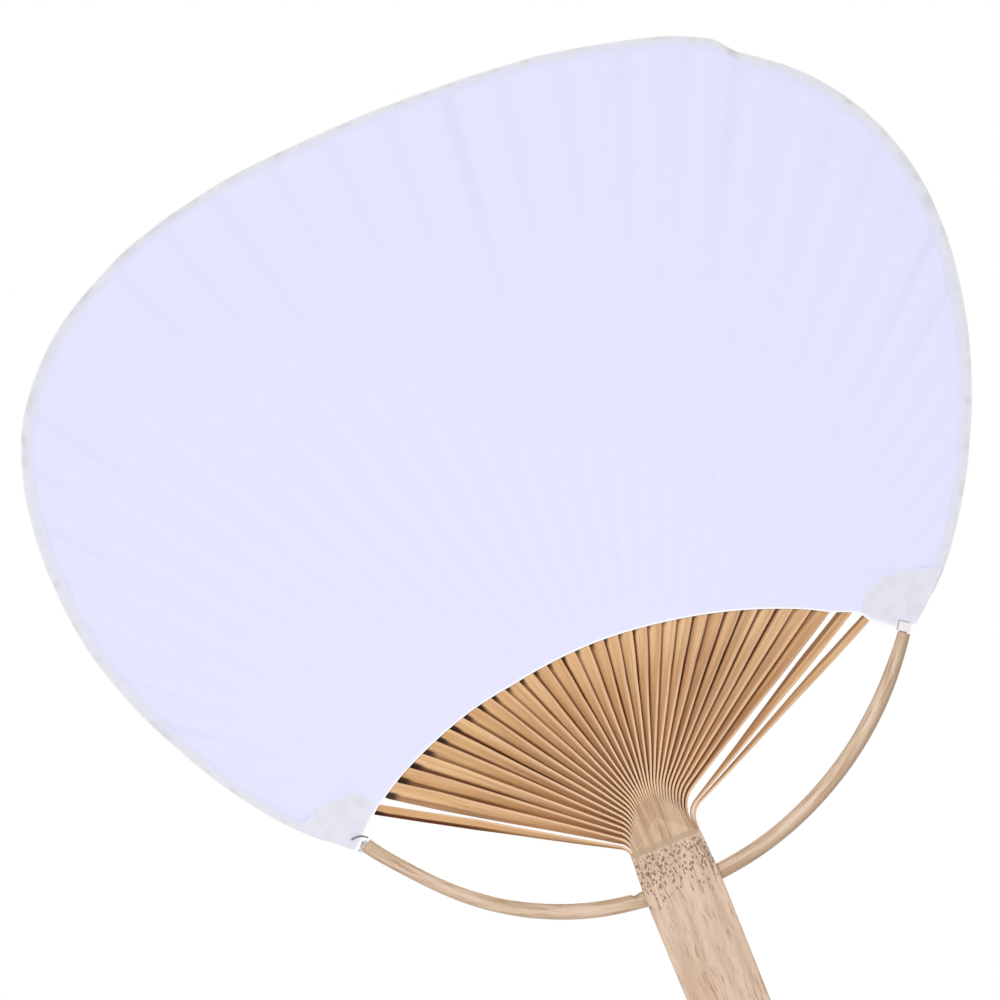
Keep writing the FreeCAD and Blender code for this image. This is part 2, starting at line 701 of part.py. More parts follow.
def make_ear_tab():
    """Small paper tab that covers the bow's end on the right ear."""
    body = new_body("ear_tab_right")
    sketch = new_sketch(body, "XZ_Plane", "tab_outline", tab_in)
    half = d.tab_width / 2
    top = d.tie_gap + d.tab_length
    add_polygon(sketch, [(-half, d.tie_gap), (half, d.tie_gap), (half, top), (-half, top)])
    add_pad(body, sketch, d.paper_thickness)
    at_bow_end(body)
    return body


# Threads

THREAD_SIDE_COUNT = 4


def thread_section(point, across, diameter):
    """Cut with flat sides across a thread, in the plane of the direction across and the fan's depth."""
    turns = [2 * math.pi * (side + 0.5) / THREAD_SIDE_COUNT for side in range(THREAD_SIDE_COUNT)]
    radius = diameter / 2
    corners = [point + (across * math.cos(turn) + BACK * math.sin(turn)) * radius for turn in turns]
    return closed_loop(corners)


def make_thread(name, spans):
    """One closed thread from the skins of spans that meet end to end."""
    thread = doc.addObject("Part::Feature", name)
    thread.Shape = closed_solid([face for span in spans for face in span.Faces])
    return thread


def make_binding_thread():
    """Loop that holds the ribs between its two strands and goes round both tongues of the bow."""
    centre = Vector(0, 0, bite_z.number)
    radius = d.bite_radius.number + d.thread_rise.number
    end = Vector(bow_end_x.number, 0, bow_end_z.number)
    rod = Vector(math.sin(math.radians(bow_lean.number)), 0, math.cos(math.radians(bow_lean.number)))
    along = rod.dot(centre - end)
    cross = end + rod * (along + math.sqrt(radius ** 2 - (end + rod * along - centre).Length ** 2))
    turn = math.asin(cross.x / radius) + d.tongue_width.number / 2 / radius
    spans = []
    for side in (-1, 1):
        outwards = Vector(side * math.sin(turn), 0, math.cos(turn))
        strand_end = centre + outwards * radius
        start = strand_end + BACK * (side * thread_y.number)
        strand = thread_section(start, outwards, d.thread_diameter.number)
        spans.append(strand.revolve(centre, BACK, -side * math.degrees(2 * turn)))
        spans.append(strand.revolve(strand_end, outwards, -180))
    thread = make_thread("binding_thread", spans)
    on_leaf(thread)
    return thread


def make_ear_tie():
    """Thread tied round the right tongue, in the gap between the rod's shoulder and the ear."""
    half = d.tongue_width.number / 2
    depth = rib_thickness.number / 2 + d.thread_fit.number + d.tie_diameter.number / 2
    spans = []
    for side in (-1, 1):
        turn_middle = Vector(side * half, 0, d.tie_gap.number / 2)
        strand = thread_section(turn_middle + BACK * (side * depth), UP, d.tie_diameter.number)
        spans.append(strand.extrude(RIGHT * (-side * 2 * half)))
        spans.append(strand.revolve(turn_middle, UP, -180))
    tie = make_thread("ear_tie_right", spans)
    at_bow_end(tie)
    return tie


# Assembly

pieces = [make_handle(), make_bow()]
pieces += [make_rib(index) for index in range(int(d.rib_count.number))]
front_paper = make_front_paper()
patch = make_ear_patch()
left_patch = mirrored(patch, "ear_patch_left_front", RIGHT, d.leaf_offset)
tie = make_ear_tie()
pieces += [front_paper, mirrored(front_paper, "back_paper", BACK), make_rim_strip(), patch, left_patch]
pieces += [mirrored(patch, "ear_patch_right_back", BACK), mirrored(left_patch, "ear_patch_left_back", BACK)]
pieces += [make_ear_tab(), make_binding_thread(), tie, mirrored(tie, "ear_tie_left", RIGHT, d.leaf_offset)]
doc.recompute()

for item in doc.Objects:
    if "Invalid" in item.State or "Error" in item.State:
        raise RuntimeError(f"{item.Label} failed: {item.State}")
for piece in pieces:
    if piece.Shape.isNull() or not piece.Shape.isValid() or len(piece.Shape.Solids) != 1:
        raise RuntimeError(f"{piece.Label} is not one valid solid")

os.makedirs("parts", exist_ok=True)
for piece in pieces:
    piece.Shape.exportStep(f"parts/{piece.Label}.step")
print(len(pieces), "pieces written")
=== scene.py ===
import math

import bmesh
import bpy
import numpy as np
from mathutils import Matrix, Vector


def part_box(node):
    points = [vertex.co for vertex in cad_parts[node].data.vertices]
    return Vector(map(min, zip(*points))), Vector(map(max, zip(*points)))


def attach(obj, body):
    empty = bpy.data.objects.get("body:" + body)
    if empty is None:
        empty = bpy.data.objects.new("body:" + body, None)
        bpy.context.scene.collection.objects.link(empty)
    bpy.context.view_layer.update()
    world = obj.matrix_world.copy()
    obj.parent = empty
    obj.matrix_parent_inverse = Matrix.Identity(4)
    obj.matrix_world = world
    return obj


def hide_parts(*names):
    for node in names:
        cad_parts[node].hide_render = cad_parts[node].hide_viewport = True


# The looks of a paddle fan: bamboo handle, ribs and bow, and a white paper leaf with its edging.
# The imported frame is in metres: +Z up the handle, -Y the front, origin at the butt end.
# Sizes here are millimetres unless they say otherwise. Rise is the height above the handle's joint line.
# Places on the leaf are pairs: how far right of the leaf's middle line, and the rise.

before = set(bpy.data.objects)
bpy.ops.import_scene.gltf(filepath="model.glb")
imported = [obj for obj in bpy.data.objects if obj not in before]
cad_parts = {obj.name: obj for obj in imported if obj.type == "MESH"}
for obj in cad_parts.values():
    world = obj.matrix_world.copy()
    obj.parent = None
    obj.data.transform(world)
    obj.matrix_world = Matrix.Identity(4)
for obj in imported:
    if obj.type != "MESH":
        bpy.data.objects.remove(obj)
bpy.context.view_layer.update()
chance = np.random.default_rng(11)

MM = 0.001

# The handle up to its joint line and the ledge above that line, as in the part
HANDLE_LENGTH = 150.0
LEDGE_HEIGHT = 1.4

# Sizes read from the frame
paper_low, paper_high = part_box("front_paper")
bow_low, bow_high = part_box("bow")
rib_low, rib_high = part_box("rib_17")
LEAF_OFFSET = (paper_low.x + paper_high.x) / 2 / MM
LEAF_HALF = (paper_high.x - paper_low.x) / 2 / MM
LEAF_RISE = paper_high.z / MM - HANDLE_LENGTH
EAR_RISE = paper_low.z / MM - HANDLE_LENGTH
PAPER_OUT = -paper_low.y / MM
PAPER_THICKNESS = (paper_high.y - paper_low.y) / MM
PATCH_OUT = -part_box("ear_patch_right_front")[0].y / MM
RIB_DEPTH = (rib_high.y - rib_low.y) / MM

# The leaf's other driving sizes, as in the part
CROWN_RADIUS = 310.0
SHOULDER_RADIUS = 66.5
SIDE_RADIUS = 124.5
EAR_WIDTH = 8.8
EAR_DROP = 8.2
BITE_RADIUS = 124.3
PATCH_SIDE = 11.1
PATCH_LEAN = 4.4
PATCH_HEIGHT = 9.2

CROWN_RISE = LEAF_RISE - CROWN_RADIUS
SHOULDER_X = LEAF_HALF - SHOULDER_RADIUS
SHOULDER_RISE = CROWN_RISE + math.sqrt((CROWN_RADIUS - SHOULDER_RADIUS) ** 2 - SHOULDER_X ** 2)
SIDE_X = LEAF_HALF - SIDE_RADIUS
EAR_X = SIDE_X + math.sqrt(SIDE_RADIUS ** 2 - (SHOULDER_RISE - EAR_RISE) ** 2)
BITE_HALF = EAR_X - EAR_WIDTH
BITE_END_RISE = EAR_RISE + EAR_DROP
BITE_RISE = BITE_END_RISE - math.sqrt(BITE_RADIUS ** 2 - BITE_HALF ** 2)

# Ribs, as in the part
RIB_COUNT = 33
JOINT_WIDTH = 18.6
ROOT_PITCH = JOINT_WIDTH / RIB_COUNT
ROOT_GAP = 0.02
RIB_THIN_SHARE = 0.85
RIB_THICKNESS = RIB_THIN_SHARE * ROOT_PITCH
TIP_DEPTH = 3.3
LAP_GAP = 0.08
HEAD_PEAK_RISE, HEAD_SIDE_RISE = 7.5, 0.4
BEND_PEAK_RISE, BEND_SIDE_RISE = 14.0, 4.5
BEND_REACH = 3.0
RIB_OVERREACH = 1.1
SPREAD_EASE_SHARE = 0.1
TURN_LEAD, LEVEL_LEAD = 12.0, 1.5
COVER_RUN, NARROW_RUN, FLAT_RUN = 0.6, 2.0, 1.8
RIB_MARGIN = 3.0

# Bow and threads, as in the part
BOW_DIAMETER = 4.2
BOW_INSET = 1.2
TIE_GAP = 0.9
TIE_DIAMETER = 0.45
THREAD_DIAMETER = 0.3
THREAD_RISE = 6.0
THREAD_FIT = 0.03

EAR_LENGTH = math.hypot(EAR_WIDTH, EAR_DROP)
BOW_END_X = EAR_X - BOW_INSET * EAR_WIDTH / EAR_LENGTH - TIE_GAP * EAR_DROP / EAR_LENGTH
BOW_END_RISE = EAR_RISE + BOW_INSET * EAR_DROP / EAR_LENGTH - TIE_GAP * EAR_WIDTH / EAR_LENGTH
BOW_END = np.array((BOW_END_X, BOW_END_RISE))
BOW_LOW_RISE = bow_low.z / MM - HANDLE_LENGTH + BOW_DIAMETER / 2
BOW_HEIGHT = BOW_END_RISE - BOW_LOW_RISE
BOW_RADIUS = (BOW_END_X ** 2 + BOW_HEIGHT ** 2) / (2 * BOW_HEIGHT)
BOW_LEAN = math.atan2(BOW_RADIUS - BOW_HEIGHT, BOW_END_X)
BOW_HEADING = np.array((math.sin(BOW_LEAN), math.cos(BOW_LEAN)))
BOW_ACROSS = np.array((BOW_HEADING[1], -BOW_HEADING[0]))

# The split ribs' own widths and lines, which the part's even ribs don't have
COVER_SHARE = 1.2
SLIM_SHARES = {0: 0.6, 31: 0.69, 32: 0.52}
FOOT_SINK = 0.5
RIB_SWAY = 0.1
RIB_LAY_SHARE = 0.05
BEND_FOLLOW_SHARE = 0.5
# The outer ribs' lines, as (rib's index, lift of its bend, shift to the left at the paper)
RIB_MOVES = (
    (0, -1.9, -0.35), (1, -1.7, -1.2), (10, 0, 0), (16, 0, 0),
    (30, 2.6, 1.4), (31, 0.35, 0.3), (32, 1.0, -0.5),
)

# How far the hand cut edges lie outside the part's arcs, or inside where negative, by degrees about the head
FOCUS_RISE = 8.0
EDGE_SHIFTS = (
    (14, 0.8), (20, 1.4), (29, 0.1), (42, -0.3), (50, -1.6), (61, -3.3), (62.6, -3.2), (64.2, -0.9),
    (69, -0.1), (77, 1.0), (86, 0.7), (95, 1.0), (103, 1.7), (108, 1.2), (115, -0.4), (127, 1.1),
    (134, -0.1), (142, 0.6), (151, -0.2), (160, 0.7), (166, 0.1),
)
LOWER_SHIFTS = (
    (14.4, 0), (15.7, -1.9), (20.5, -2.4), (22.5, -1.4), (24, -0.9), (28, -1.8), (32, -1.5), (65, -1.2),
    (90, -0.7), (118, -0.7), (130, 0.1), (150, 0.6), (158, 0.3), (165.5, 0),
)
EDGE_SOFT_DEGREES = 0.5
SOFT_STEPS = 7


# Lines and places

def in_frame(places, depth):
    """Places on the leaf and their depths, as points in the frame, in metres."""
    parts = np.broadcast_arrays(places[..., 0] + LEAF_OFFSET, depth, places[..., 1] + HANDLE_LENGTH)
    return np.stack(parts, axis=-1) * MM


def rays(turns):
    """Directions on the leaf at angles that count from the right hand side upwards."""
    return np.stack((np.cos(turns), np.sin(turns)), axis=-1)


def round_focus(points):
    """Angle and distance of points about a place in the middle of the handle's head."""
    rise = points[..., 1] - FOCUS_RISE
    return np.arctan2(rise, points[..., 0]), np.hypot(rise, points[..., 0])


def distances_along(points):
    """Distance of each point of a line from its first, along the line."""
    return np.concatenate(([0], np.cumsum(np.hypot(*np.diff(points, axis=0).T))))


def ease(value, low, high):
    """0 below low, 1 above high, and a soft step between."""
    share = np.clip((value - low) / (high - low), 0, 1)
    return share * share * (3 - 2 * share)


WAVE_COUNT = 6


def wander(places, rate):
    """Smooth random waves over places, between about -1 and 1."""
    total = np.zeros_like(places)
    for wave in range(1, WAVE_COUNT + 1):
        total += np.sin(places * wave * rate + chance.uniform(0, 2 * math.pi)) / wave ** 0.5
    return total / WAVE_COUNT ** 0.75


def hand_cut(degrees, table, soft_degrees=EDGE_SOFT_DEGREES, column=1):
    """Values from a table of listed places by degrees, averaged over a small angle."""
    places, values = np.array(table)[:, (0, column)].T
    steps = np.linspace(-soft_degrees, soft_degrees, SOFT_STEPS)
    return np.mean([np.interp(degrees + step, places, values) for step in steps], axis=0)


def both_faces(half):
    """Half of a section, followed by its mirror image on the other face."""
    return half + [(offset, -depth) for offset, depth in reversed(half)]


# Meshes

SHARP_DEGREES = 40


def new_object(name, data):
    """Mesh, lamp or camera, put into the scene."""
    made = bpy.data.objects.new(name, data)
    bpy.context.scene.collection.objects.link(made)
    return made


def new_piece(name, points, faces, material, node):
    """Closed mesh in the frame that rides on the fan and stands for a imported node."""
    mesh = bpy.data.meshes.new(name)
    mesh.from_pydata(points.reshape(-1, 3).tolist(), [], faces)
    work = bmesh.new()
    work.from_mesh(mesh)
    bmesh.ops.recalc_face_normals(work, faces=work.faces)
    work.to_mesh(mesh)
    work.free()
    mesh.shade_smooth()
    mesh.set_sharp_from_angle(angle=math.radians(SHARP_DEGREES))
    mesh.materials.append(material)
    piece = new_object(name, mesh)
    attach(piece, "root")
    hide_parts(node)
    return piece


def add_values(piece, name, values):
    """Named number at each point of a piece, for its material."""
    layer = piece.data.attributes.new(name, "FLOAT", "POINT")
    layer.data.foreach_set("value", np.asarray(values, dtype=np.float32).ravel())


def add_grain(piece, shares, along):
    """Map with the share of the way across and the distance along, in metres, at each point."""
    mesh = piece.data
    rows = np.repeat(np.arange(len(along)), shares.shape[1])
    values = np.stack((shares.ravel(), along[rows]), axis=-1)
    corner_points = np.empty(len(mesh.loops), dtype=np.int32)
    mesh.loops.foreach_get("vertex_index", corner_points)
    layer = mesh.uv_layers.new(name="grain")
    layer.data.foreach_set("uv", values[corner_points].astype(np.float32).ravel())


def sheet_faces(rows, columns):
    """Faces of a closed sheet whose two sides are grids of rows by columns."""
    offset = rows * columns
    upper = np.arange(offset).reshape(rows, columns)
    faces = []
    for side in (upper, upper + offset):
        quads = np.stack((side[:-1, :-1], side[1:, :-1], side[1:, 1:], side[:-1, 1:]), axis=-1)
        faces += quads.reshape(-1, 4).tolist()
    rim = np.concatenate((upper[0, :-1], upper[:-1, -1], upper[-1, :0:-1], upper[:0:-1, 0]))
    following = np.roll(rim, -1)
    faces += np.stack((rim, following, following + offset, rim + offset), axis=-1).tolist()
    return faces


def new_sheet(name, places, depths, material, slot_name, node, **values):
    """Piece of paper over a grid of places, with the depths of its two faces and numbers for its looks."""
    points = np.stack([in_frame(places, depth) for depth in depths])
    piece = new_piece(name, points, sheet_faces(*places.shape[:2]), material, node)
    for value_name, numbers in values.items():
        add_values(piece, value_name, np.stack((numbers, numbers)))
    return piece


def loft_faces(count, sides, closed=False):
    """Faces of a tube of count sections with so many sides, closed to a ring or with flat ends."""
    ring = np.arange(count * sides).reshape(count, sides)
    nearer = ring if closed else ring[:-1]
    farther = np.roll(ring, -1, axis=0) if closed else ring[1:]
    quads = np.stack((nearer, np.roll(nearer, -1, axis=1), np.roll(farther, -1, axis=1), farther), axis=-1)
    faces = quads.reshape(-1, 4).tolist()
    return faces if closed else faces + [ring[0].tolist(), ring[-1].tolist()]


def new_loft(name, sections, material, node):
    """Piece through sections of as many points each, with flat ends."""
    sections = np.stack(sections)
    return new_piece(name, sections, loft_faces(*sections.shape[:2]), material, node)


def joined(parts):
    """Points and faces of several meshes as one."""
    points, faces, count = [], [], 0
    for part_points, part_faces in parts:
        points.append(part_points)
        faces += [[corner + count for corner in face] for face in part_faces]
        count += len(part_points)
    return np.concatenate(points), faces


# Shader graphs

class Shader:
    """Shader graph of a material or the world, whose nodes are added one call at a time."""

    def __init__(self, owner):
        owner.use_nodes = True
        self.owner = owner
        self.tree = owner.node_tree
        self.tree.nodes.clear()

    def add(self, kind, inputs=None, **settings):
        """New node with its settings, and inputs given as values or as sockets to link."""
        node = self.tree.nodes.new(kind)
        for name, value in settings.items():
            setattr(node, name, value)
        for key, value in (inputs or {}).items():
            if isinstance(value, bpy.types.NodeSocket):
                self.tree.links.new(value, node.inputs[key])
            else:
                node.inputs[key].default_value = value
        return node

    def math(self, operation, first, second=0.0, third=0.0):
        inputs = {0: first, 1: second, 2: third}
        return self.add("ShaderNodeMath", inputs, operation=operation).outputs[0]

    def product(self, first, *others):
        """Product of sockets and numbers."""
        for other in others:
            first = self.math("MULTIPLY", first, other)
        return first

    def combine(self, *parts):
        """Vector of three coordinates, each a number, a socket, or a pair of a socket and its scale."""
        scaled = [self.product(*part) if isinstance(part, tuple) else part for part in parts]
        return self.add("ShaderNodeCombineXYZ", dict(enumerate(scaled))).outputs[0]

    def place(self, kind="Object"):
        """Coordinates of the shaded point in metres or, for UV, its place on the mesh's map."""
        coordinates = self.add("ShaderNodeTexCoord").outputs[kind]
        return self.add("ShaderNodeSeparateXYZ", {0: coordinates}).outputs

    def polar(self, x, z, centre_x, centre_z):
        """Angle from straight up and distance about a centre."""
        across = self.math("SUBTRACT", x, centre_x)
        up = self.math("SUBTRACT", z, centre_z)
        squares = [self.product(part, part) for part in (across, up)]
        return self.math("ARCTAN2", across, up), self.math("SQRT", self.math("ADD", *squares))

    def noise(self, *parts, detail=3.0, roughness=0.5):
        """Noise over three coordinates, each given as combine takes it."""
        inputs = {"Vector": self.combine(*parts), "Scale": 1.0, "Detail": detail, "Roughness": roughness}
        return self.add("ShaderNodeTexNoise", inputs).outputs[0]

    def even_noise(self, scale, **settings):
        """Noise with one scale in all directions."""
        return self.noise(*((part, scale) for part in self.place()), **settings)

    def waved(self, x, z, scale_x, scale_z, size):
        """Place across the grain, shifted by a soft wave, so that the fibres don't run straight."""
        wave = self.noise((x, scale_x), 0.0, (z, scale_z), detail=2)
        return self.math("MULTIPLY_ADD", wave, size, x)

    def smooth(self, value, low, high, top=1.0):
        """0 below low, top above high, and a soft step between."""
        inputs = {"Value": value, "From Min": low, "From Max": high, "To Max": top}
        return self.add("ShaderNodeMapRange", inputs, interpolation_type="SMOOTHSTEP").outputs[0]

    def between(self, value, low, high, blur, top=1.0):
        """Top between low and high, 0 outside, with soft edges."""
        rise = self.smooth(value, low - blur, low + blur)
        fall = self.smooth(value, high + blur, high - blur)
        return self.product(rise, fall, top)

    def mix(self, factor, first, second):
        return self.add("ShaderNodeMix", {0: factor, 6: first, 7: second}, data_type="RGBA").outputs[2]

    def value(self, name):
        """Number that the mesh holds at each of its points."""
        return self.add("ShaderNodeAttribute", attribute_name=name).outputs["Fac"]

    def bump(self, height, distance):
        return self.add("ShaderNodeBump", {"Height": height, "Distance": distance}).outputs[0]

    def seen_directly(self):
        """1 for the camera's own rays and for mirrored or refracted ones, else 0."""
        path = self.add("ShaderNodeLightPath").outputs
        seen = self.math("MAXIMUM", path["Is Camera Ray"], path["Is Glossy Ray"])
        return self.math("MAXIMUM", seen, path["Is Transmission Ray"])

    def finish(self, base, roughness, normal=None, **settings):
        """Ends a material's graph in one principled shader."""
        inputs = {"Base Color": base, "Roughness": roughness}
        if normal:
            inputs["Normal"] = normal
        inputs.update({key.replace("_", " "): value for key, value in settings.items()})
        shader = self.add("ShaderNodeBsdfPrincipled", inputs)
        self.add("ShaderNodeOutputMaterial", {"Surface": shader.outputs[0]})
        return self.owner


def new_shader(name):
    """Empty graph of a new material."""
    return Shader(bpy.data.materials.new(name))


def colour(red, green, blue):
    """Screen colour from 0 to 255 as the linear colour that shaders take."""
    parts = np.array((red, green, blue)) / 255
    linear = np.where(parts <= 0.04045, parts / 12.92, ((parts + 0.055) / 1.055) ** 2.4)
    return (*linear.tolist(), 1.0)


# Materials

JOINT_Z = HANDLE_LENGTH * MM
LEDGE_Z = JOINT_Z + LEDGE_HEIGHT * MM
LEAF_TINT = colour(227, 228, 253)
GLUE_TINT = colour(225, 226, 244)
# Painted highlight along the papers' cut edges, and painted light on the rim's fold, whose faces stand edge
# on to the lamps
LIT_EDGE_WHITE = colour(253, 253, 255)
PAPER_NOISE = {"scale": 700, "detail": 5, "roughness": 0.65}
CLOUD_SCALE = 240
FLUFF_SCALE = 5000
PAPER_ROUGHNESS = 0.9


def head_wood(shader, x, y, z):
    """Colour of the handle's head and of the ribs' roots, which are split from it."""
    wavy = shader.waved(x, z, 150, 110, 1.4 * MM)
    fibre = shader.noise((wavy, 2300), (y, 300), (z, 120), detail=4, roughness=0.6)
    broad = shader.noise((wavy, 420), (y, 100), (z, 40))
    base = shader.mix(shader.smooth(broad, 0.35, 0.65), colour(196, 161, 130), colour(214, 184, 155))
    base = shader.mix(shader.smooth(fibre, 0.48, 0.7, 0.7), base, colour(164, 122, 88))
    streak = shader.between(wavy, -3.2 * MM, -1.6 * MM, 0.7 * MM, 0.5)
    return shader.mix(streak, base, colour(172, 124, 86))


def make_handle_bamboo():
    """Flat bamboo: short wavy fibre streaks, pores below the joint line, and the plain head above it."""
    shader = new_shader("handle_bamboo")
    x, y, z = shader.place()
    wavy = shader.waved(x, z, 160, 190, 1.8 * MM)
    fibre = shader.noise((wavy, 2100), (y, 2100), (z, 190), detail=4, roughness=0.6)
    broad = shader.noise((wavy, 330), (y, 330), (z, 40))
    base = shader.mix(shader.smooth(broad, 0.3, 0.7), colour(203, 172, 146), colour(224, 197, 175))
    base = shader.mix(shader.smooth(fibre, 0.52, 0.68, 0.75), base, colour(164, 122, 94))

    # Short dark pores, crowded under the joint line and thinning out downwards
    cells = shader.add("ShaderNodeTexVoronoi", {"Vector": shader.combine((wavy, 400), (y, 400), (z, 190))})
    dot = shader.smooth(cells.outputs["Distance"], 0.5, 0.22)
    lot = shader.add("ShaderNodeSeparateColor", {0: cells.outputs["Color"]}).outputs[0]
    crowd = shader.smooth(z, JOINT_Z - 17 * MM, JOINT_Z - 4 * MM, 0.75)
    kept = shader.smooth(shader.math("SUBTRACT", crowd, lot), 0.0, 0.12)
    below = shader.smooth(z, JOINT_Z - 0.2 * MM, JOINT_Z - 0.8 * MM)
    pores = shader.product(dot, kept, below)
    base = shader.mix(shader.product(pores, 0.8), base, colour(124, 86, 68))

    # Split beside the bow's right hand exit
    split = shader.between(wavy, 9.2 * MM, 9.6 * MM, 0.25 * MM)
    reach = shader.between(z, JOINT_Z - 12 * MM, JOINT_Z - 3 * MM, 1.5 * MM, 0.8)
    base = shader.mix(shader.product(split, reach), base, colour(104, 66, 44))

    # The head above the joint line, with a pale ledge along it
    ledge = shader.between(z, JOINT_Z, LEDGE_Z, 0.25 * MM, 0.7)
    head_base = shader.mix(ledge, head_wood(shader, x, y, z), colour(194, 172, 148))
    head = shader.smooth(z, JOINT_Z - 0.2 * MM, JOINT_Z + 0.3 * MM)
    base = shader.mix(head, base, head_base)
    height = shader.math("MULTIPLY_ADD", pores, -2.0, fibre)
    return shader.finish(base, 0.5, shader.bump(height, 0.1 * MM))


def make_rib_bamboo():
    """Split bamboo with fibres along each rib, whose distances along count from the leaf's lower edge."""
    shader = new_shader("rib_bamboo")
    share, along = shader.place("UV")[:2]
    lot = shader.add("ShaderNodeObjectInfo").outputs["Random"]
    fibre = shader.noise((share, 16), (lot, 40), (along, 70), detail=4, roughness=0.6)
    broad = shader.noise((share, 3), (lot, 40), (along, 25), detail=2)
    base = shader.mix(lot, colour(218, 174, 128), colour(238, 198, 152))
    base = shader.mix(shader.smooth(broad, 0.4, 0.7, 0.6), base, colour(206, 154, 102))
    base = shader.mix(shader.smooth(fibre, 0.48, 0.72, 0.55), base, colour(164, 108, 62))

    # Painted highlight on the pale front edge, which stands out towards the light, stronger away from the
    # leaf
    highlight_run = shader.math("ADD", shader.smooth(along, -4 * MM, -30 * MM, 0.5), 0.3)
    pale = shader.product(shader.smooth(share, 0.84, 0.94), highlight_run)
    base = shader.mix(pale, base, colour(246, 208, 170))

    # Painted shade in the crease where the next rib lies over it, stronger near the leaf and uneven from rib
    # to rib
    near_leaf = shader.math("ADD", shader.smooth(along, -45 * MM, -20 * MM, 0.45), 0.35)
    uneven = shader.math("FRACT", shader.product(lot, 7.0))
    strength = shader.math("MULTIPLY_ADD", uneven, 0.8, 0.6)
    crease_shade = shader.product(shader.smooth(share, 0.42, 0.25), near_leaf, strength)
    base = shader.mix(crease_shade, base, colour(92, 46, 18))

    # Painted shade, nearly black, in the crease just under the leaf's edge
    mouth_shade = shader.product(shader.smooth(along, -3 * MM, -0.5 * MM), shader.smooth(share, 0.48, 0.34, 0.9))
    base = shader.mix(mouth_shade, base, colour(40, 22, 16))

    # Painted shade as a dull purple-grey tone on the right hand ribs, and the head's wood at the roots
    x, y, z = shader.place()
    stain_and_shade = shader.product(shader.smooth(x, 5 * MM, 32 * MM, 0.25), shader.smooth(broad, 0.35, 0.6))
    base = shader.mix(stain_and_shade, base, colour(128, 92, 84))
    base = shader.mix(shader.value("root"), base, head_wood(shader, x, y, z))
    return shader.finish(base, 0.75, shader.bump(fibre, 0.05 * MM), Specular_IOR_Level=0.15)


def make_bow_bamboo():
    """Scraped rod with streaks along its bend, painted shade on its lower side at the right, and a chip
    beside the handle.
    """
    shader = new_shader("bow_bamboo")
    x, y, z = shader.place()
    bend_z = bow_low.z + (BOW_RADIUS + BOW_DIAMETER / 2) * MM
    turn, reach = shader.polar(x, z, LEAF_OFFSET * MM, bend_z)
    turn = shader.math("ABSOLUTE", turn)
    streak = shader.noise((reach, 1300), (y, 1300), (turn, 9), detail=4)
    broad = shader.noise((reach, 400), (y, 400), (turn, 5), detail=2)
    base = shader.mix(shader.smooth(broad, 0.35, 0.65), colour(222, 196, 171), colour(203, 173, 144))
    base = shader.mix(shader.smooth(streak, 0.48, 0.7, 0.65), base, colour(166, 128, 94))
    # Painted shade on the bow's lower, outer side, strongest on the right arm
    lower = shader.smooth(reach, (BOW_RADIUS - 0.5) * MM, (BOW_RADIUS + 1.5) * MM)
    lower = shader.product(lower, shader.smooth(x, -20 * MM, 20 * MM, 0.6))
    base = shader.mix(lower, base, colour(168, 138, 110))
    base = shader.mix(shader.value("chip"), base, colour(120, 84, 56))
    return shader.finish(base, 0.5, shader.bump(streak, 0.08 * MM))


def make_leaf_paper():
    """Thin white paper: painted shade in faint bands between the ribs near its edge, and a painted highlight
    along its cut lower edge.
    """
    shader = new_shader("leaf_paper")
    fibre = shader.even_noise(**PAPER_NOISE)
    base = shader.mix(shader.value("outer"), colour(230, 231, 255), colour(228, 229, 255))
    # Painted shade where the paper sags between the ribs
    base = shader.mix(shader.value("valley"), base, colour(220, 221, 248))
    base = shader.mix(shader.smooth(fibre, 0.5, 0.8, 0.2), base, colour(223, 224, 250))
    base = shader.mix(shader.value("glue"), base, GLUE_TINT)
    # Painted highlight along the leaf's cut lower edge
    base = shader.mix(shader.smooth(shader.value("lower"), 0.55 * MM, 0.4 * MM), base, LIT_EDGE_WHITE)
    return shader.finish(base, PAPER_ROUGHNESS, shader.bump(fibre, 0.02 * MM))


def make_edging_paper(name, tint, stain_and_shade, border):
    """Thin paper that is pasted on the leaf, with the border's tone along its borders."""
    shader = new_shader(name)
    fibre = shader.even_noise(**PAPER_NOISE)
    cloud = shader.even_noise(CLOUD_SCALE)
    base = shader.mix(shader.smooth(cloud, 0.45, 0.7), tint, stain_and_shade)
    base = shader.mix(shader.smooth(fibre, 0.5, 0.8, 0.25), base, stain_and_shade)
    ragged = shader.math("MULTIPLY_ADD", cloud, 0.6, shader.value("fade"))
    base = shader.mix(shader.smooth(ragged, 0.35, 1.1), base, border)
    # Painted highlight along cut edges, and painted light on the rim's fold
    base = shader.mix(shader.value("cut"), base, LIT_EDGE_WHITE)
    # Painted shade along the tab's raised borders, and darker places along the rim
    base = shader.mix(shader.value("soil"), base, colour(122, 114, 120))
    return shader.finish(base, PAPER_ROUGHNESS, shader.bump(fibre, 0.03 * MM))


def make_thread_cotton():
    """Twisted thread, pale where it lies between the papers and grey where its end shows."""
    shader = new_shader("thread_cotton")
    fluff = shader.even_noise(FLUFF_SCALE)
    pale = shader.mix(fluff, colour(232, 230, 232), colour(252, 251, 252))
    grey = shader.mix(fluff, colour(92, 88, 90), colour(140, 136, 138))
    base = shader.mix(shader.value("grey"), pale, grey)
    return shader.finish(base, 0.95, shader.bump(fluff, 0.05 * MM))


# The lines of the leaf and the ribs

ARC_STEPS = 160


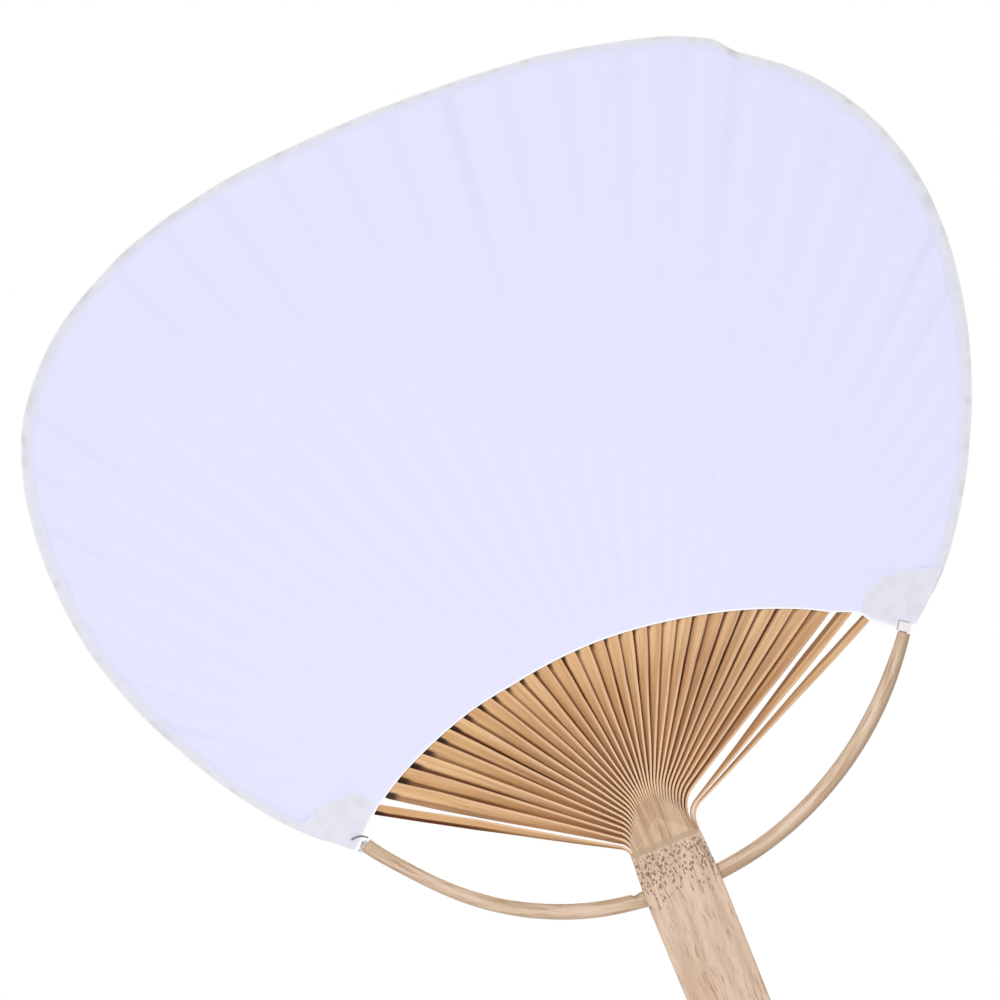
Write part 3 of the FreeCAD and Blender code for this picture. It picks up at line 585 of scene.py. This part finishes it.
def leaf_outline():
    """Points of the leaf's edge from the right ear over the top to the left ear, and outward directions."""
    ear_turn = math.asin((EAR_RISE - SHOULDER_RISE) / SIDE_RADIUS)
    crown_turn = math.atan2(SHOULDER_RISE - CROWN_RISE, SHOULDER_X)
    arcs = (
        (SIDE_X, SHOULDER_RISE, SIDE_RADIUS, ear_turn, 0),
        (SHOULDER_X, SHOULDER_RISE, SHOULDER_RADIUS, 0, crown_turn),
        (0, CROWN_RISE, CROWN_RADIUS, crown_turn, math.pi / 2),
    )
    points, outwards = [], []
    for centre_x, centre_rise, radius, start, end in arcs:
        outward = rays(np.linspace(start, end, ARC_STEPS, endpoint=False))
        points.append(np.array((centre_x, centre_rise)) + radius * outward)
        outwards.append(outward)
    halves = np.concatenate(points), np.concatenate(outwards)
    points, outwards = (np.concatenate((half, half[::-1] * np.array((-1, 1)))) for half in halves)
    shift = hand_cut(np.degrees(round_focus(points)[0]), EDGE_SHIFTS)
    return points + outwards * shift[:, None], outwards


edge, edge_outwards = leaf_outline()


def edge_across(side, rise):
    """How far out the leaf's edge lies at rises near an ear."""
    ear = (edge if side > 0 else edge[::-1])[:ARC_STEPS]
    return np.interp(rise, ear[:, 1], np.abs(ear[:, 0]))


def lower_edge():
    """Points of the leaf's lower edge, before it is cut by hand, from the right ear to the left ear."""
    bite_turn = math.acos(BITE_HALF / BITE_RADIUS)
    turns = np.linspace(bite_turn, math.pi - bite_turn, 2 * ARC_STEPS)
    bite = rays(turns) * BITE_RADIUS + np.array((0, BITE_RISE))
    return np.concatenate((edge[:1], bite, edge[-1:]))


def lower_reach(turns):
    """Distance of the leaf's hand cut lower edge from the focus at angles about it."""
    low_turn, low_reach = round_focus(lower_edge())
    return np.interp(turns, low_turn, low_reach) + hand_cut(np.degrees(turns), LOWER_SHIFTS)


def rib_lines():
    """Bend corners, directions, lengths to the leaf's lower edge and reaches of the bends of all ribs."""
    shares = np.linspace(-1, 1, RIB_COUNT)
    moved, lifts, insets = np.array(RIB_MOVES).T
    lift, inset = (np.interp(np.arange(RIB_COUNT), moved, shifts) for shifts in (lifts, insets))
    bend_rise = BEND_PEAK_RISE - (BEND_PEAK_RISE - BEND_SIDE_RISE) * shares ** 2 + lift
    corners = np.stack((shares * ROOT_PITCH * (RIB_COUNT - 1) / 2 - LEAF_OFFSET, bend_rise), axis=-1)
    spread = math.asin((BITE_HALF + RIB_OVERREACH) / BITE_RADIUS)
    eased = (1 - SPREAD_EASE_SHARE) * shares + SPREAD_EASE_SHARE * shares ** 3
    from_middle = spread * eased - inset / BITE_RADIUS
    aims = rays(from_middle)[:, ::-1] * BITE_RADIUS + np.array((0, BITE_RISE))
    runs = aims - corners
    lengths = np.hypot(runs[:, 0], runs[:, 1])
    return corners, runs / lengths[:, None], lengths, BEND_REACH + BEND_FOLLOW_SHARE * lift


rib_corners, rib_directions, rib_lengths, rib_bends = rib_lines()


def line_distances(points):
    """Distance of each point to each rib's line."""
    away = points[..., None, :] - rib_corners
    return np.abs(away[..., 0] * rib_directions[:, 1] - away[..., 1] * rib_directions[:, 0])


def rib_room(index, distance):
    """Distance from a point of a rib to the line of its nearer neighbour."""
    rooms = line_distances(rib_corners[index] + rib_directions[index] * distance)
    return min(rooms[k] for k in (index - 1, index + 1) if 0 <= k < RIB_COUNT)


def rib_end(index):
    """Distance along a rib's line from its corner to its end, inside the leaf's edge."""
    away = edge - rib_corners[index]
    direction = rib_directions[index]
    miss = away[:, 0] * direction[1] - away[:, 1] * direction[0]
    ahead = away @ direction
    crossing = np.nonzero((miss[:-1] * miss[1:] <= 0) & (ahead[1:] > 0))[0]
    return ahead[crossing].max() - RIB_MARGIN


# Papers: the leaf's sheets, the rim and the patches

PAPER_COLUMNS = 480
PAPER_ROWS = 90
PAPER_SAG, SAG_RUN = 0.16, 8.0
PAPER_WAVE, WAVE_RUN = 0.03, 15.0
VALLEY_SHARE, VALLEY_WANDER_SHARE = 0.42, 0.4
EDGE_CLEAR_SHARE = 0.006
RIM_TOP_WIDTH, RIM_SIDE_WIDTH = 1.7, 3.0
RIM_WANDER, FOLD_WANDER = 0.2, 0.05
RIM_FOLD = 0.2
RIM_PLY = 0.08
RIM_CLEAR = 0.01
RIM_LOW_RISE = EAR_RISE + PATCH_SIDE / 2
GLUE_SHARE = 0.9
# Looks across the rim's outer face, from its border on the leaf to its fold
RIM_FADES = (1, 0.5, 0, 0, 0)
# Painted light on the fold, whose faces stand edge on
RIM_EDGE_LIGHTS = (0, 0, 0, 0.6, 1)
RIM_DARK_SHARES = (0, 0.7, 1, 1, 0.4)
# Darker places along the rim as (degrees about the head, half width, strength); the one at 62.8 degrees is
# painted shade along the step in the leaf's edge
RIM_MARKS = (
    (18.7, 0.25, 0.4), (44.3, 0.5, 0.18), (62.8, 0.5, 0.25), (98.3, 0.9, 0.1), (102.1, 0.9, 0.12),
    (107.3, 1, 0.16), (111.9, 1, 0.16), (116.2, 1, 0.13), (121.3, 0.9, 0.11), (124.9, 1, 0.08),
)
PATCH_STEPS = 36
PATCH_LIFT = 0.08
PATCH_WRINKLE = 0.05
PATCH_TORN_SHARE = 0.05
PATCH_FEATHER_SHARE = 0.2
TAB_WIDTH = 3.4
TAB_LENGTH = 2.6
TAB_START = -0.4
TAB_CURL = 0.08
TAB_STEPS = 24


def rim_width(sideways):
    """Width of the edging, which is narrow over the top and wider down the sides."""
    return RIM_TOP_WIDTH + (RIM_SIDE_WIDTH - RIM_TOP_WIDTH) * sideways ** 2


def make_leaf_sheet(name, node, facing, material):
    """Paper stretched over the ribs: it stands on each rib and sinks a little between them."""
    edge_turn, edge_reach = round_focus(edge)
    clear = (edge_turn[-1] - edge_turn[0]) * EDGE_CLEAR_SHARE
    turns = np.linspace(edge_turn[0] + clear, edge_turn[-1] - clear, PAPER_COLUMNS)
    low = lower_reach(turns)
    high = np.interp(turns, edge_turn, edge_reach)
    reach = low + (high - low) * np.linspace(0, 1, PAPER_ROWS)[:, None]
    places = reach[..., None] * rays(turns) + np.array((0, FOCUS_RISE))
    nearest, next_nearest = np.moveaxis(np.partition(line_distances(places), 1)[..., :2], -1, 0)
    from_edge = np.minimum(reach - low, high - reach)
    sag = PAPER_SAG * ease(nearest, TIP_DEPTH / 4, TIP_DEPTH) * ease(from_edge, 0, SAG_RUN)
    sag += PAPER_WAVE * wander(turns, rate=9) * ease(from_edge, 0, WAVE_RUN)
    depths = facing * (PAPER_OUT - sag), facing * (PAPER_OUT - PAPER_THICKNESS - sag)

    # Looks: painted shade in bands halfway between the ribs, where the paper sags, and the glue's tone beside
    # the rim
    outer = (reach - low) / (high - low)
    strength = VALLEY_SHARE + VALLEY_WANDER_SHARE * wander(turns, rate=17)
    valley = ease(2 * nearest / (nearest + next_nearest), 0.5, 1) * ease(outer, 0.4, 0.95) * strength
    glue = ease((high - reach) / rim_width(np.cos(turns)), 1 + GLUE_SHARE, 1)
    return new_sheet(name, places, depths, material, "leaf_paper", node,
                     valley=valley, outer=outer, lower=(reach - low) * MM, glue=glue)


def make_rim(material):
    """Narrow paper strip folded over the leaf's edge, with thin pasted down borders."""
    inside = edge[:, 1] > RIM_LOW_RISE
    points, outwards = edge[inside], edge_outwards[inside]
    along = distances_along(points)
    width = rim_width(outwards[:, 0]) + RIM_WANDER * wander(along, rate=0.05)
    fold = RIM_FOLD + FOLD_WANDER * wander(along, rate=0.11)
    out = PAPER_OUT + RIM_PLY
    inner = PAPER_OUT + RIM_CLEAR

    # Half of the strip's section, as (outwards from the leaf's edge, depth) from its border to its fold
    outer_side = [(-width, inner + RIM_CLEAR), (-0.6 * width, out - RIM_PLY / 3), (-RIM_FOLD, out),
                  (fold / 2, 0.9 * out), (fold, out / 2)]
    inner_side = [(-width, inner), (-RIM_FOLD, inner), (fold - RIM_PLY, inner / 2)]
    lines = []
    for offset, depth in both_faces(outer_side) + both_faces(inner_side)[::-1]:
        places = points + outwards * np.broadcast_to(offset, along.shape)[:, None]
        lines.append(in_frame(places, -depth))
    piece = new_loft("rim_edging", np.stack(lines, axis=1), material, "rim_strip")

    degrees = np.degrees(round_focus(points)[0])
    soiled = sum(strength * np.exp(-((degrees - middle) / half) ** 2) for middle, half, strength in RIM_MARKS)
    looks = (("fade", RIM_FADES, 1), ("cut", RIM_EDGE_LIGHTS, 1), ("soil", RIM_DARK_SHARES, soiled))
    hidden = (0,) * (2 * len(inner_side))
    for value_name, shares, strength in looks:
        section = np.array(shares + shares[::-1] + hidden)
        add_values(piece, value_name, np.broadcast_to(strength, along.shape)[:, None] * section)


def make_patch(name, node, side, facing, material):
    """Small paper patch pasted over an ear and over the end of the rim."""
    across, up = np.meshgrid(np.linspace(0, 1, PATCH_STEPS), np.linspace(0, 1, PATCH_STEPS))
    torn = 1 + PATCH_TORN_SHARE * wander(across, rate=5)
    inner_x = BITE_HALF + PATCH_LEAN * up
    inner_rise = BITE_END_RISE + PATCH_HEIGHT * up * torn
    outer_rise = EAR_RISE + PATCH_SIDE * up * torn
    outer_x = edge_across(side, outer_rise)
    places = np.stack((side * (inner_x + (outer_x - inner_x) * across),
                       inner_rise + (outer_rise - inner_rise) * across), axis=-1)

    # Its lower side follows the leaf's hand cut lower edge
    turn, reach = round_focus(places[0])
    lowered = (lower_reach(turn) - reach) * ease(across[0], 1, 0.9)
    places += rays(turn) * lowered[:, None] * (1 - up)[..., None]

    # It thins out to its borders on the leaf, and rises over the rim
    over_rim = ease(across, 0.6, 0.8)
    full = PATCH_OUT + PATCH_WRINKLE * wander(across + 0.6 * up, rate=7) + PATCH_LIFT * over_rim
    feather = ease(np.minimum(np.maximum(1 - up, over_rim), across), 0, PATCH_FEATHER_SHARE)
    inner = PAPER_OUT + RIM_CLEAR + (full - PAPER_THICKNESS - PAPER_OUT) * feather
    outer = inner + RIM_CLEAR + (PAPER_THICKNESS - 2 * RIM_CLEAR) * feather
    from_tip = (up ** 3 + (1 - across) ** 3) ** (1 / 3)
    fade = ease(from_tip, 0.9, 1.1) * ease(across, 1, 0.8)
    # A painted highlight runs along its cut lower border
    new_sheet(name, places, (facing * outer, facing * inner), material, "edging_paper", node,
              fade=fade, cut=ease(up, 0.07, 0.03))


def make_tab(material):
    """Small paper tab over the bow's right end."""
    low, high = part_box("ear_tab_right")
    across, up = np.meshgrid(np.linspace(-0.5, 0.5, TAB_STEPS), np.linspace(0, 1, TAB_STEPS))
    start = BOW_END + BOW_HEADING * TAB_START
    places = start + across[..., None] * TAB_WIDTH * BOW_ACROSS + up[..., None] * TAB_LENGTH * BOW_HEADING
    curl = TAB_CURL * (2 * across) ** 2
    # Painted shade along its left and top borders
    soil = np.maximum(ease(across, -0.38, -0.5), ease(up, 0.86, 1)) * ease(across, 0.5, 0.2)
    new_sheet("ear_tab", places, (low.y / MM + curl, high.y / MM + curl), material, "edging_paper",
              "ear_tab_right", soil=soil)


# Ribs

BEND_STATIONS, OPEN_STATIONS, TURN_STATIONS = 8, 16, 7
TWIST_RATE = 3
RIB_BEVEL, ROOT_BEVEL = 0.07, 0.015
RIB_EDGE = 0.4
# How far a rib still looks like the head's wood, at its first stations
ROOT_SHARES = (1, 1, 0.95, 0.8, 0.55, 0.3, 0.15, 0.05)


def cover_turn(shown, depth, thickness):
    """Twist at which a rib looks as wide as asked, between edge on and its full diagonal."""
    diagonal = math.hypot(depth, thickness)
    return math.asin(min(max(shown, thickness) / diagonal, 1)) - math.atan2(thickness, depth)


def rib_stations(index):
    """Cuts along a rib as (place, heading, twist, depth, thickness), from the head to the leaf's edge."""
    slim = SLIM_SHARES.get(index, 1)
    depth = RIB_DEPTH * slim
    tip_depth = TIP_DEPTH * slim
    cover = COVER_SHARE * slim
    corner, direction = rib_corners[index], rib_directions[index]
    length, bend = rib_lengths[index], rib_bends[index]

    # Foot in the head, edge on
    up = np.array((0.0, 1.0))
    root = ROOT_PITCH - ROOT_GAP
    head_slope = (HEAD_PEAK_RISE - HEAD_SIDE_RISE) / (JOINT_WIDTH / 2)
    foot_rise = HEAD_PEAK_RISE - head_slope * abs(corner[0] + LEAF_OFFSET) + ROOT_GAP
    foot_depth = depth - 2 * ROOT_GAP
    stations = [(np.array((corner[0], foot_rise - FOOT_SINK)), up, 0, foot_depth, root)]

    # Bend from straight up to the rib's own direction
    for step in np.linspace(0, 1, BEND_STATIONS, endpoint=False):
        place = corner - up * bend * (1 - step) ** 2 + direction * bend * step ** 2
        heading = up * (1 - step) + direction * step
        thickness = root * (1 - step) + RIB_THICKNESS * step
        room = ROOT_PITCH * (1 - step) + rib_room(index, bend) * step
        twist = cover_turn(cover * room, depth, thickness) * min(1, step * TWIST_RATE)
        full = foot_depth + (depth - foot_depth) * step
        stations.append((place, heading / np.hypot(*heading), twist, full, thickness))

    # Open run, twisted so that it just laps over its neighbour
    turn_start, level_start = length - TURN_LEAD, length - LEVEL_LEAD
    sideways = np.array((direction[1], -direction[0]))
    sway = chance.uniform(-RIB_SWAY, RIB_SWAY)
    lay = chance.uniform(-RIB_LAY_SHARE, RIB_LAY_SHARE)
    for share in np.linspace(0, 1, OPEN_STATIONS):
        distance = bend + (turn_start - bend) * share
        twist = cover_turn(cover * rib_room(index, distance), depth, RIB_THICKNESS)
        twist *= 1 + lay * math.sin(math.pi * share)
        place = corner + direction * distance + sideways * sway * math.sin(2 * math.pi * share)
        stations.append((place, direction, twist, depth, RIB_THICKNESS))

    # Turn to nearly flat before the paper
    lap_turn = math.acos((RIB_THICKNESS + LAP_GAP) / rib_room(index, level_start))
    edge_depth = min(cover * rib_room(index, length), depth)
    for step in np.linspace(0, 1, TURN_STATIONS + 1)[1:]:
        distance = turn_start + (level_start - turn_start) * step
        stations.append((corner + direction * distance, direction, twist + (lap_turn - twist) * step,
                         depth + (edge_depth - depth) * step, RIB_THICKNESS))

    # Between the papers: narrower, then flat to its end
    full_end = length + COVER_RUN
    narrow_end = full_end + NARROW_RUN
    flat_start = narrow_end + FLAT_RUN
    flat = math.pi / 2
    for distance, turn, width in ((full_end, lap_turn, edge_depth), (narrow_end, lap_turn, tip_depth),
                                  (flat_start, flat, tip_depth), (rib_end(index), flat, tip_depth)):
        stations.append((corner + direction * distance, direction, turn, width, RIB_THICKNESS))
    return stations


def make_rib(index, material):
    """Thin split strip that twists from edge on at the head to flat in the leaf."""
    stations = rib_stations(index)
    along = distances_along([station[0] for station in stations])
    rooted = ROOT_SHARES + (0,) * (len(stations) - len(ROOT_SHARES))
    front = np.array((0, -1.0, 0))
    sections, shares = [], []
    for (place, heading, twist, depth, thickness), root in zip(stations, rooted):
        across = np.array((heading[1], 0, -heading[0]))
        broad = across * math.sin(twist) + front * math.cos(twist)
        thin = across * math.cos(twist) - front * math.sin(twist)
        half, side = depth / 2, thickness / 2
        bevel = RIB_BEVEL + (ROOT_BEVEL - RIB_BEVEL) * root
        row = both_faces([(half - bevel, side), (half - RIB_EDGE, side), (RIB_EDGE - half, side),
                          (bevel - half, side), (-half, side - bevel)])
        row += [(half, bevel - side), (half, side - bevel)]
        centre = np.array((place[0], 0, place[1]))
        cut = np.array([centre + broad * long + thin * short for long, short in row])
        sections.append(in_frame(cut[:, ::2], cut[:, 1]))
        shares.append([1 if abs(long) == half else 0.5 - long / depth * math.copysign(1, short)
                       for long, short in row])
    name = f"rib_{index + 1:02d}"
    piece = new_loft(f"{name}_strip", sections, material, name)
    leaf_start = along[-1] - (rib_end(index) - rib_lengths[index])
    add_grain(piece, np.array(shares), (along - leaf_start) * MM)
    add_values(piece, "root", np.repeat(rooted, len(row)))
    return piece


# Bow and threads

TONGUE_WIDTH = 2.1
BOW_TRIM = 0.7
BOW_SCRAPE = 0.03
# The scraped rod's own line, as (degrees along its bend, shift outwards, width)
BOW_SHAPE = (
    (-56.5, -0.7, 3.9), (-48, -0.85, 3.6), (-42, -0.25, 3.65), (-36, 0.3, 3.9), (-28, 0.7, 4.05),
    (-18, 0.7, 4.2), (-12, 0.4, 4.2), (-8, 0, 4.2), (12, 0, 4.2), (28, -0.25, 4.2), (40, -0.25, 4.15),
    (48, -0.1, 3.9), (52, 0, 3.6), (56.5, 0.4, 3.2),
)
BOW_SOFT_DEGREES = 3.0
BOW_STEPS = 320
BOW_SIDES = 20
CHIP_X, CHIP_RUN, CHIP_DEPTH = -14.5, 0.8, 0.5
TIE_PITCH, TIE_STEPS = 0.8, 24
BINDING_PITCH, BINDING_STEPS = 1.2, 400
STRAND_SIDES = 7
# A direction that no thread follows
THREAD_LEVEL = np.array((0.13, 0.21, 0.97))
# The tie's loose end on the left ear, from the bow's end: outwards, depth and rise
TAIL_ROUTE = ((-1.7, -0.5, 1.9), (-1.0, -1.5, 3.0), (0.5, -1.4, 3.5), (2.3, -1.35, 3.0))
TAIL_STEPS = 40


def tongue_rows(side, start):
    """Both ends of a flat tongue of the bow, as (centre, inward direction, half width, half depth)."""
    mirror = np.array((side, 1))
    end = (bow_high.z / MM - HANDLE_LENGTH - BOW_END_RISE) / BOW_HEADING[1]
    return [((BOW_END + BOW_HEADING * reach) * mirror, -BOW_ACROSS * mirror,
             TONGUE_WIDTH / 2, RIB_THICKNESS / 2) for reach in (start, end)]


def make_bow(material):
    """Hand scraped rod that thins towards both ends, with flat tongues that go between the papers."""
    end_turn = math.acos((BOW_RADIUS - BOW_HEIGHT) / BOW_RADIUS)
    turns = np.linspace(-end_turn, end_turn - BOW_TRIM / BOW_RADIUS, BOW_STEPS)
    degrees = np.degrees(turns)
    shift = hand_cut(degrees, BOW_SHAPE, BOW_SOFT_DEGREES)
    width = hand_cut(degrees, BOW_SHAPE, BOW_SOFT_DEGREES, column=2)
    radius = width / 2 - BOW_SCRAPE * (1 + wander(turns * BOW_RADIUS, rate=0.06))
    inwards = np.stack((-np.sin(turns), np.cos(turns)), axis=-1)
    centres = np.array((0, BOW_LOW_RISE + BOW_RADIUS)) - inwards * (BOW_RADIUS + shift)[:, None]
    rod_rows = list(zip(centres, inwards, radius, radius))
    sides = np.linspace(0, 2 * math.pi, BOW_SIDES, endpoint=False)
    sections, chips = [], []
    for centre, inward, half, depth in tongue_rows(-1, 0)[::-1] + rod_rows + tongue_rows(1, -BOW_TRIM):
        chip = math.exp(-((centre[0] - CHIP_X) / CHIP_RUN) ** 2) * np.clip(np.cos(sides), 0, 1) ** 2
        reach = half * np.cos(sides) - CHIP_DEPTH * chip
        sections.append(in_frame(centre + reach[:, None] * inward, depth * np.sin(sides)))
        chips.append(chip)
    piece = new_loft("bow_rod", sections, material, "bow")
    add_values(piece, "chip", chips)


def ply_thread(route, diameter, pitch, closed=True):
    """Points and faces of two strands twisted round each other along a route."""
    around = np.roll(route, -1, axis=0) - np.roll(route, 1, axis=0)
    tangent = around if closed else np.gradient(route, axis=0)
    steps = np.linalg.norm(np.diff(route, axis=0, append=route[:1] if closed else route[-1:]), axis=1)
    tangent /= np.linalg.norm(tangent, axis=1)[:, None]
    along = np.concatenate(([0], np.cumsum(steps)[:-1]))
    turns = 2 * math.pi * round(steps.sum() / pitch) / steps.sum() * along
    level = np.cross(tangent, THREAD_LEVEL)
    level /= np.linalg.norm(level, axis=1)[:, None]
    upright = np.cross(level, tangent)
    strands = []
    for turn in (turns, turns + math.pi):
        centre = route + (level * np.cos(turn)[:, None] + upright * np.sin(turn)[:, None]) * diameter / 4
        ring = np.stack([centre + (level * math.cos(k) + upright * math.sin(k)) * diameter / 4
                         for k in np.linspace(0, 2 * math.pi, STRAND_SIDES, endpoint=False)], axis=1)
        points = in_frame(ring[..., ::2], ring[..., 1]).reshape(-1, 3)
        strands.append((points, loft_faces(len(route), STRAND_SIDES, closed)))
    return joined(strands)


def loop_route(half, depth, count):
    """Closed loop of two straight strands and two half turns, as offsets along it and in depth."""
    turns = np.linspace(-math.pi / 2, math.pi / 2, count)
    right = np.stack((half + depth * np.cos(turns), depth * np.sin(turns)), axis=-1)
    straight = np.linspace(1, -1, count)[1:-1, None] * np.array((half, 0)) + np.array((0, depth))
    one_half = np.concatenate((right, straight))
    return np.concatenate((one_half, -one_half))


def bezier(controls, count):
    """Points of a cubic curve with four control points."""
    step = np.linspace(0, 1, count)[:, None]
    weights = ((1 - step) ** 3, 3 * step * (1 - step) ** 2, 3 * step ** 2 * (1 - step), step ** 3)
    return sum(weight * np.array(control) for weight, control in zip(weights, controls))


def make_ear_tie(name, node, side, material, tailed):
    """Thread tied round the flat end of the bow, with a loose end on one ear."""
    depth = RIB_THICKNESS / 2 + THREAD_FIT + TIE_DIAMETER / 2
    loop = loop_route(TONGUE_WIDTH / 2, depth, TIE_STEPS)
    start = BOW_END + BOW_HEADING * TIE_GAP / 2
    mirror = np.array((side, 1, 1))
    threads = []
    for offset in (-TIE_DIAMETER / 2, TIE_DIAMETER / 2):
        places = start + loop[:, :1] * BOW_ACROSS + BOW_HEADING * offset
        route = np.stack((places[:, 0], loop[:, 1], places[:, 1]), axis=-1)
        threads.append(ply_thread(route * mirror, TIE_DIAMETER, TIE_PITCH))
    tied_count = sum(len(points) for points, faces in threads)
    if tailed:
        tail = bezier(TAIL_ROUTE, TAIL_STEPS) + np.array((BOW_END_X, 0, BOW_END_RISE))
        threads.append(ply_thread(tail * mirror, TIE_DIAMETER, TIE_PITCH, closed=False))
    points, faces = joined(threads)
    piece = new_piece(name, points, faces, material, node)
    add_values(piece, "grey", np.arange(len(points)) >= tied_count)


def make_binding(material):
    """Thread between the papers, on both faces of the ribs and round both ends of the bow."""
    depth = RIB_THICKNESS / 2 + THREAD_FIT + THREAD_DIAMETER / 2
    radius = BITE_RADIUS + THREAD_RISE
    end = np.array((BOW_END_X, BOW_END_RISE - BITE_RISE))
    ahead = -end @ BOW_HEADING
    miss = np.hypot(*(end + BOW_HEADING * ahead))
    cross = end + BOW_HEADING * (ahead + math.sqrt(radius ** 2 - miss ** 2))
    half_turn = math.asin(cross[0] / radius) + TONGUE_WIDTH / 2 / radius
    loop = loop_route(half_turn * radius, depth, BINDING_STEPS)
    turn = loop[:, 0] / radius
    route = np.stack((radius * np.sin(turn), loop[:, 1], BITE_RISE + radius * np.cos(turn)), axis=-1)
    points, faces = ply_thread(route, THREAD_DIAMETER, BINDING_PITCH)
    new_piece("binding", points, faces, material, "binding_thread")


# The fan

FACES = (("front", -1), ("back", 1))
leaf_paper = make_leaf_paper()
rim_paper = make_edging_paper("rim_paper", colour(228, 229, 236), colour(214, 213, 216), GLUE_TINT)
patch_paper = make_edging_paper("patch_paper", colour(228, 229, 241), colour(223, 222, 230), LEAF_TINT)
tab_paper = make_edging_paper("tab_paper", colour(242, 236, 240), colour(232, 226, 232), LEAF_TINT)
rib_bamboo = make_rib_bamboo()
thread_cotton = make_thread_cotton()

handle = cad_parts["handle"]
handle.data.materials.clear()
handle.data.materials.append(make_handle_bamboo())

make_bow(make_bow_bamboo())
ribs = [make_rib(index, rib_bamboo) for index in range(RIB_COUNT)]
sheets = [make_leaf_sheet(f"leaf_{face}", f"{face}_paper", facing, leaf_paper) for face, facing in FACES]
make_rim(rim_paper)
for side_name, side in (("right", 1), ("left", -1)):
    for face, facing in FACES:
        ear = f"{side_name}_{face}"
        make_patch(f"patch_{ear}", f"ear_patch_{ear}", side, facing, patch_paper)
    make_ear_tie(f"tie_{side_name}", f"ear_tie_{side_name}", side, thread_cotton, tailed=side < 0)
make_binding(thread_cotton)
make_tab(tab_paper)


# Stage in metres: floor, light and camera

WHITE = (1, 1, 1, 1)
FLOOR_RADIUS = 0.7
FLOOR_SIDES = 128
FLOOR_GAP = 0.05 * MM
FLOOR_GLOW = 0.25
AMBIENT = 0.36
LIGHT_PLACES = {"key": (-0.3, -1.65, 0.75), "back": (0.45, 1.6, 0.75)}
LIGHT_AIM = (0, 0, 0.24)
LIGHT_SIZE = 0.6
LIGHT_WATTS = 17
VIEW_MIDDLE = Vector((-6.2, 0, 245.5)) * MM
VIEW_WIDTH = 250 * MM
VIEW_DISTANCE = 1.6
VIEW_END = 20
ROLL = math.radians(22)
SENSOR = 36.0


def add_floor():
    """Pale round floor that keeps the shadow, else almost white."""
    turns = np.linspace(0, 2 * math.pi, FLOOR_SIDES, endpoint=False)
    low = np.full_like(turns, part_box("handle")[0].z - FLOOR_GAP)
    points = np.column_stack((FLOOR_RADIUS * rays(turns), low))
    mesh = bpy.data.meshes.new("floor")
    mesh.from_pydata(points.tolist(), [], [list(range(FLOOR_SIDES))])
    floor = new_object("floor", mesh)
    shader = new_shader("floor")
    glow = shader.product(shader.seen_directly(), FLOOR_GLOW)
    pale = shader.finish(colour(250, 250, 250), 0.9, Emission_Color=WHITE, Emission_Strength=glow)
    mesh.materials.append(pale)


def add_world():
    """White behind the fan, and an even soft light all round."""
    world = bpy.data.worlds.new("studio")
    bpy.context.scene.world = world
    shader = Shader(world)
    level = shader.add("ShaderNodeMapRange", {"Value": shader.seen_directly(), "To Min": AMBIENT})
    sky = shader.add("ShaderNodeBackground", {"Color": WHITE, "Strength": level.outputs[0]})
    shader.add("ShaderNodeOutputWorld", {"Surface": sky.outputs[0]})


def add_light(name, place):
    """Round soft lamp that shines at the fan."""
    data = bpy.data.lights.new(name, "AREA")
    data.shape = "DISK"
    data.size = LIGHT_SIZE
    data.energy = LIGHT_WATTS
    light = new_object(name, data)
    light.location = place
    light.rotation_euler = (Vector(LIGHT_AIM) - Vector(place)).to_track_quat("-Z", "Y").to_euler()


def add_camera():
    """Straight at the front, rolled so that the handle's top leans to the left."""
    data = bpy.data.cameras.new("camera")
    data.sensor_width = SENSOR
    data.lens = SENSOR * VIEW_DISTANCE / VIEW_WIDTH
    data.clip_end = VIEW_END
    camera = new_object("camera", data)
    right = Vector((math.cos(ROLL), 0, -math.sin(ROLL)))
    up = Vector((math.sin(ROLL), 0, math.cos(ROLL)))
    back = right.cross(up)
    turn = Matrix((right, up, back)).transposed().to_4x4()
    camera.matrix_world = Matrix.Translation(VIEW_MIDDLE + back * VIEW_DISTANCE) @ turn
    bpy.context.scene.camera = camera


add_floor()
add_world()
for light_name, light_place in LIGHT_PLACES.items():
    add_light(light_name, light_place)
add_camera()
bpy.context.scene.view_settings.view_transform = "Standard"
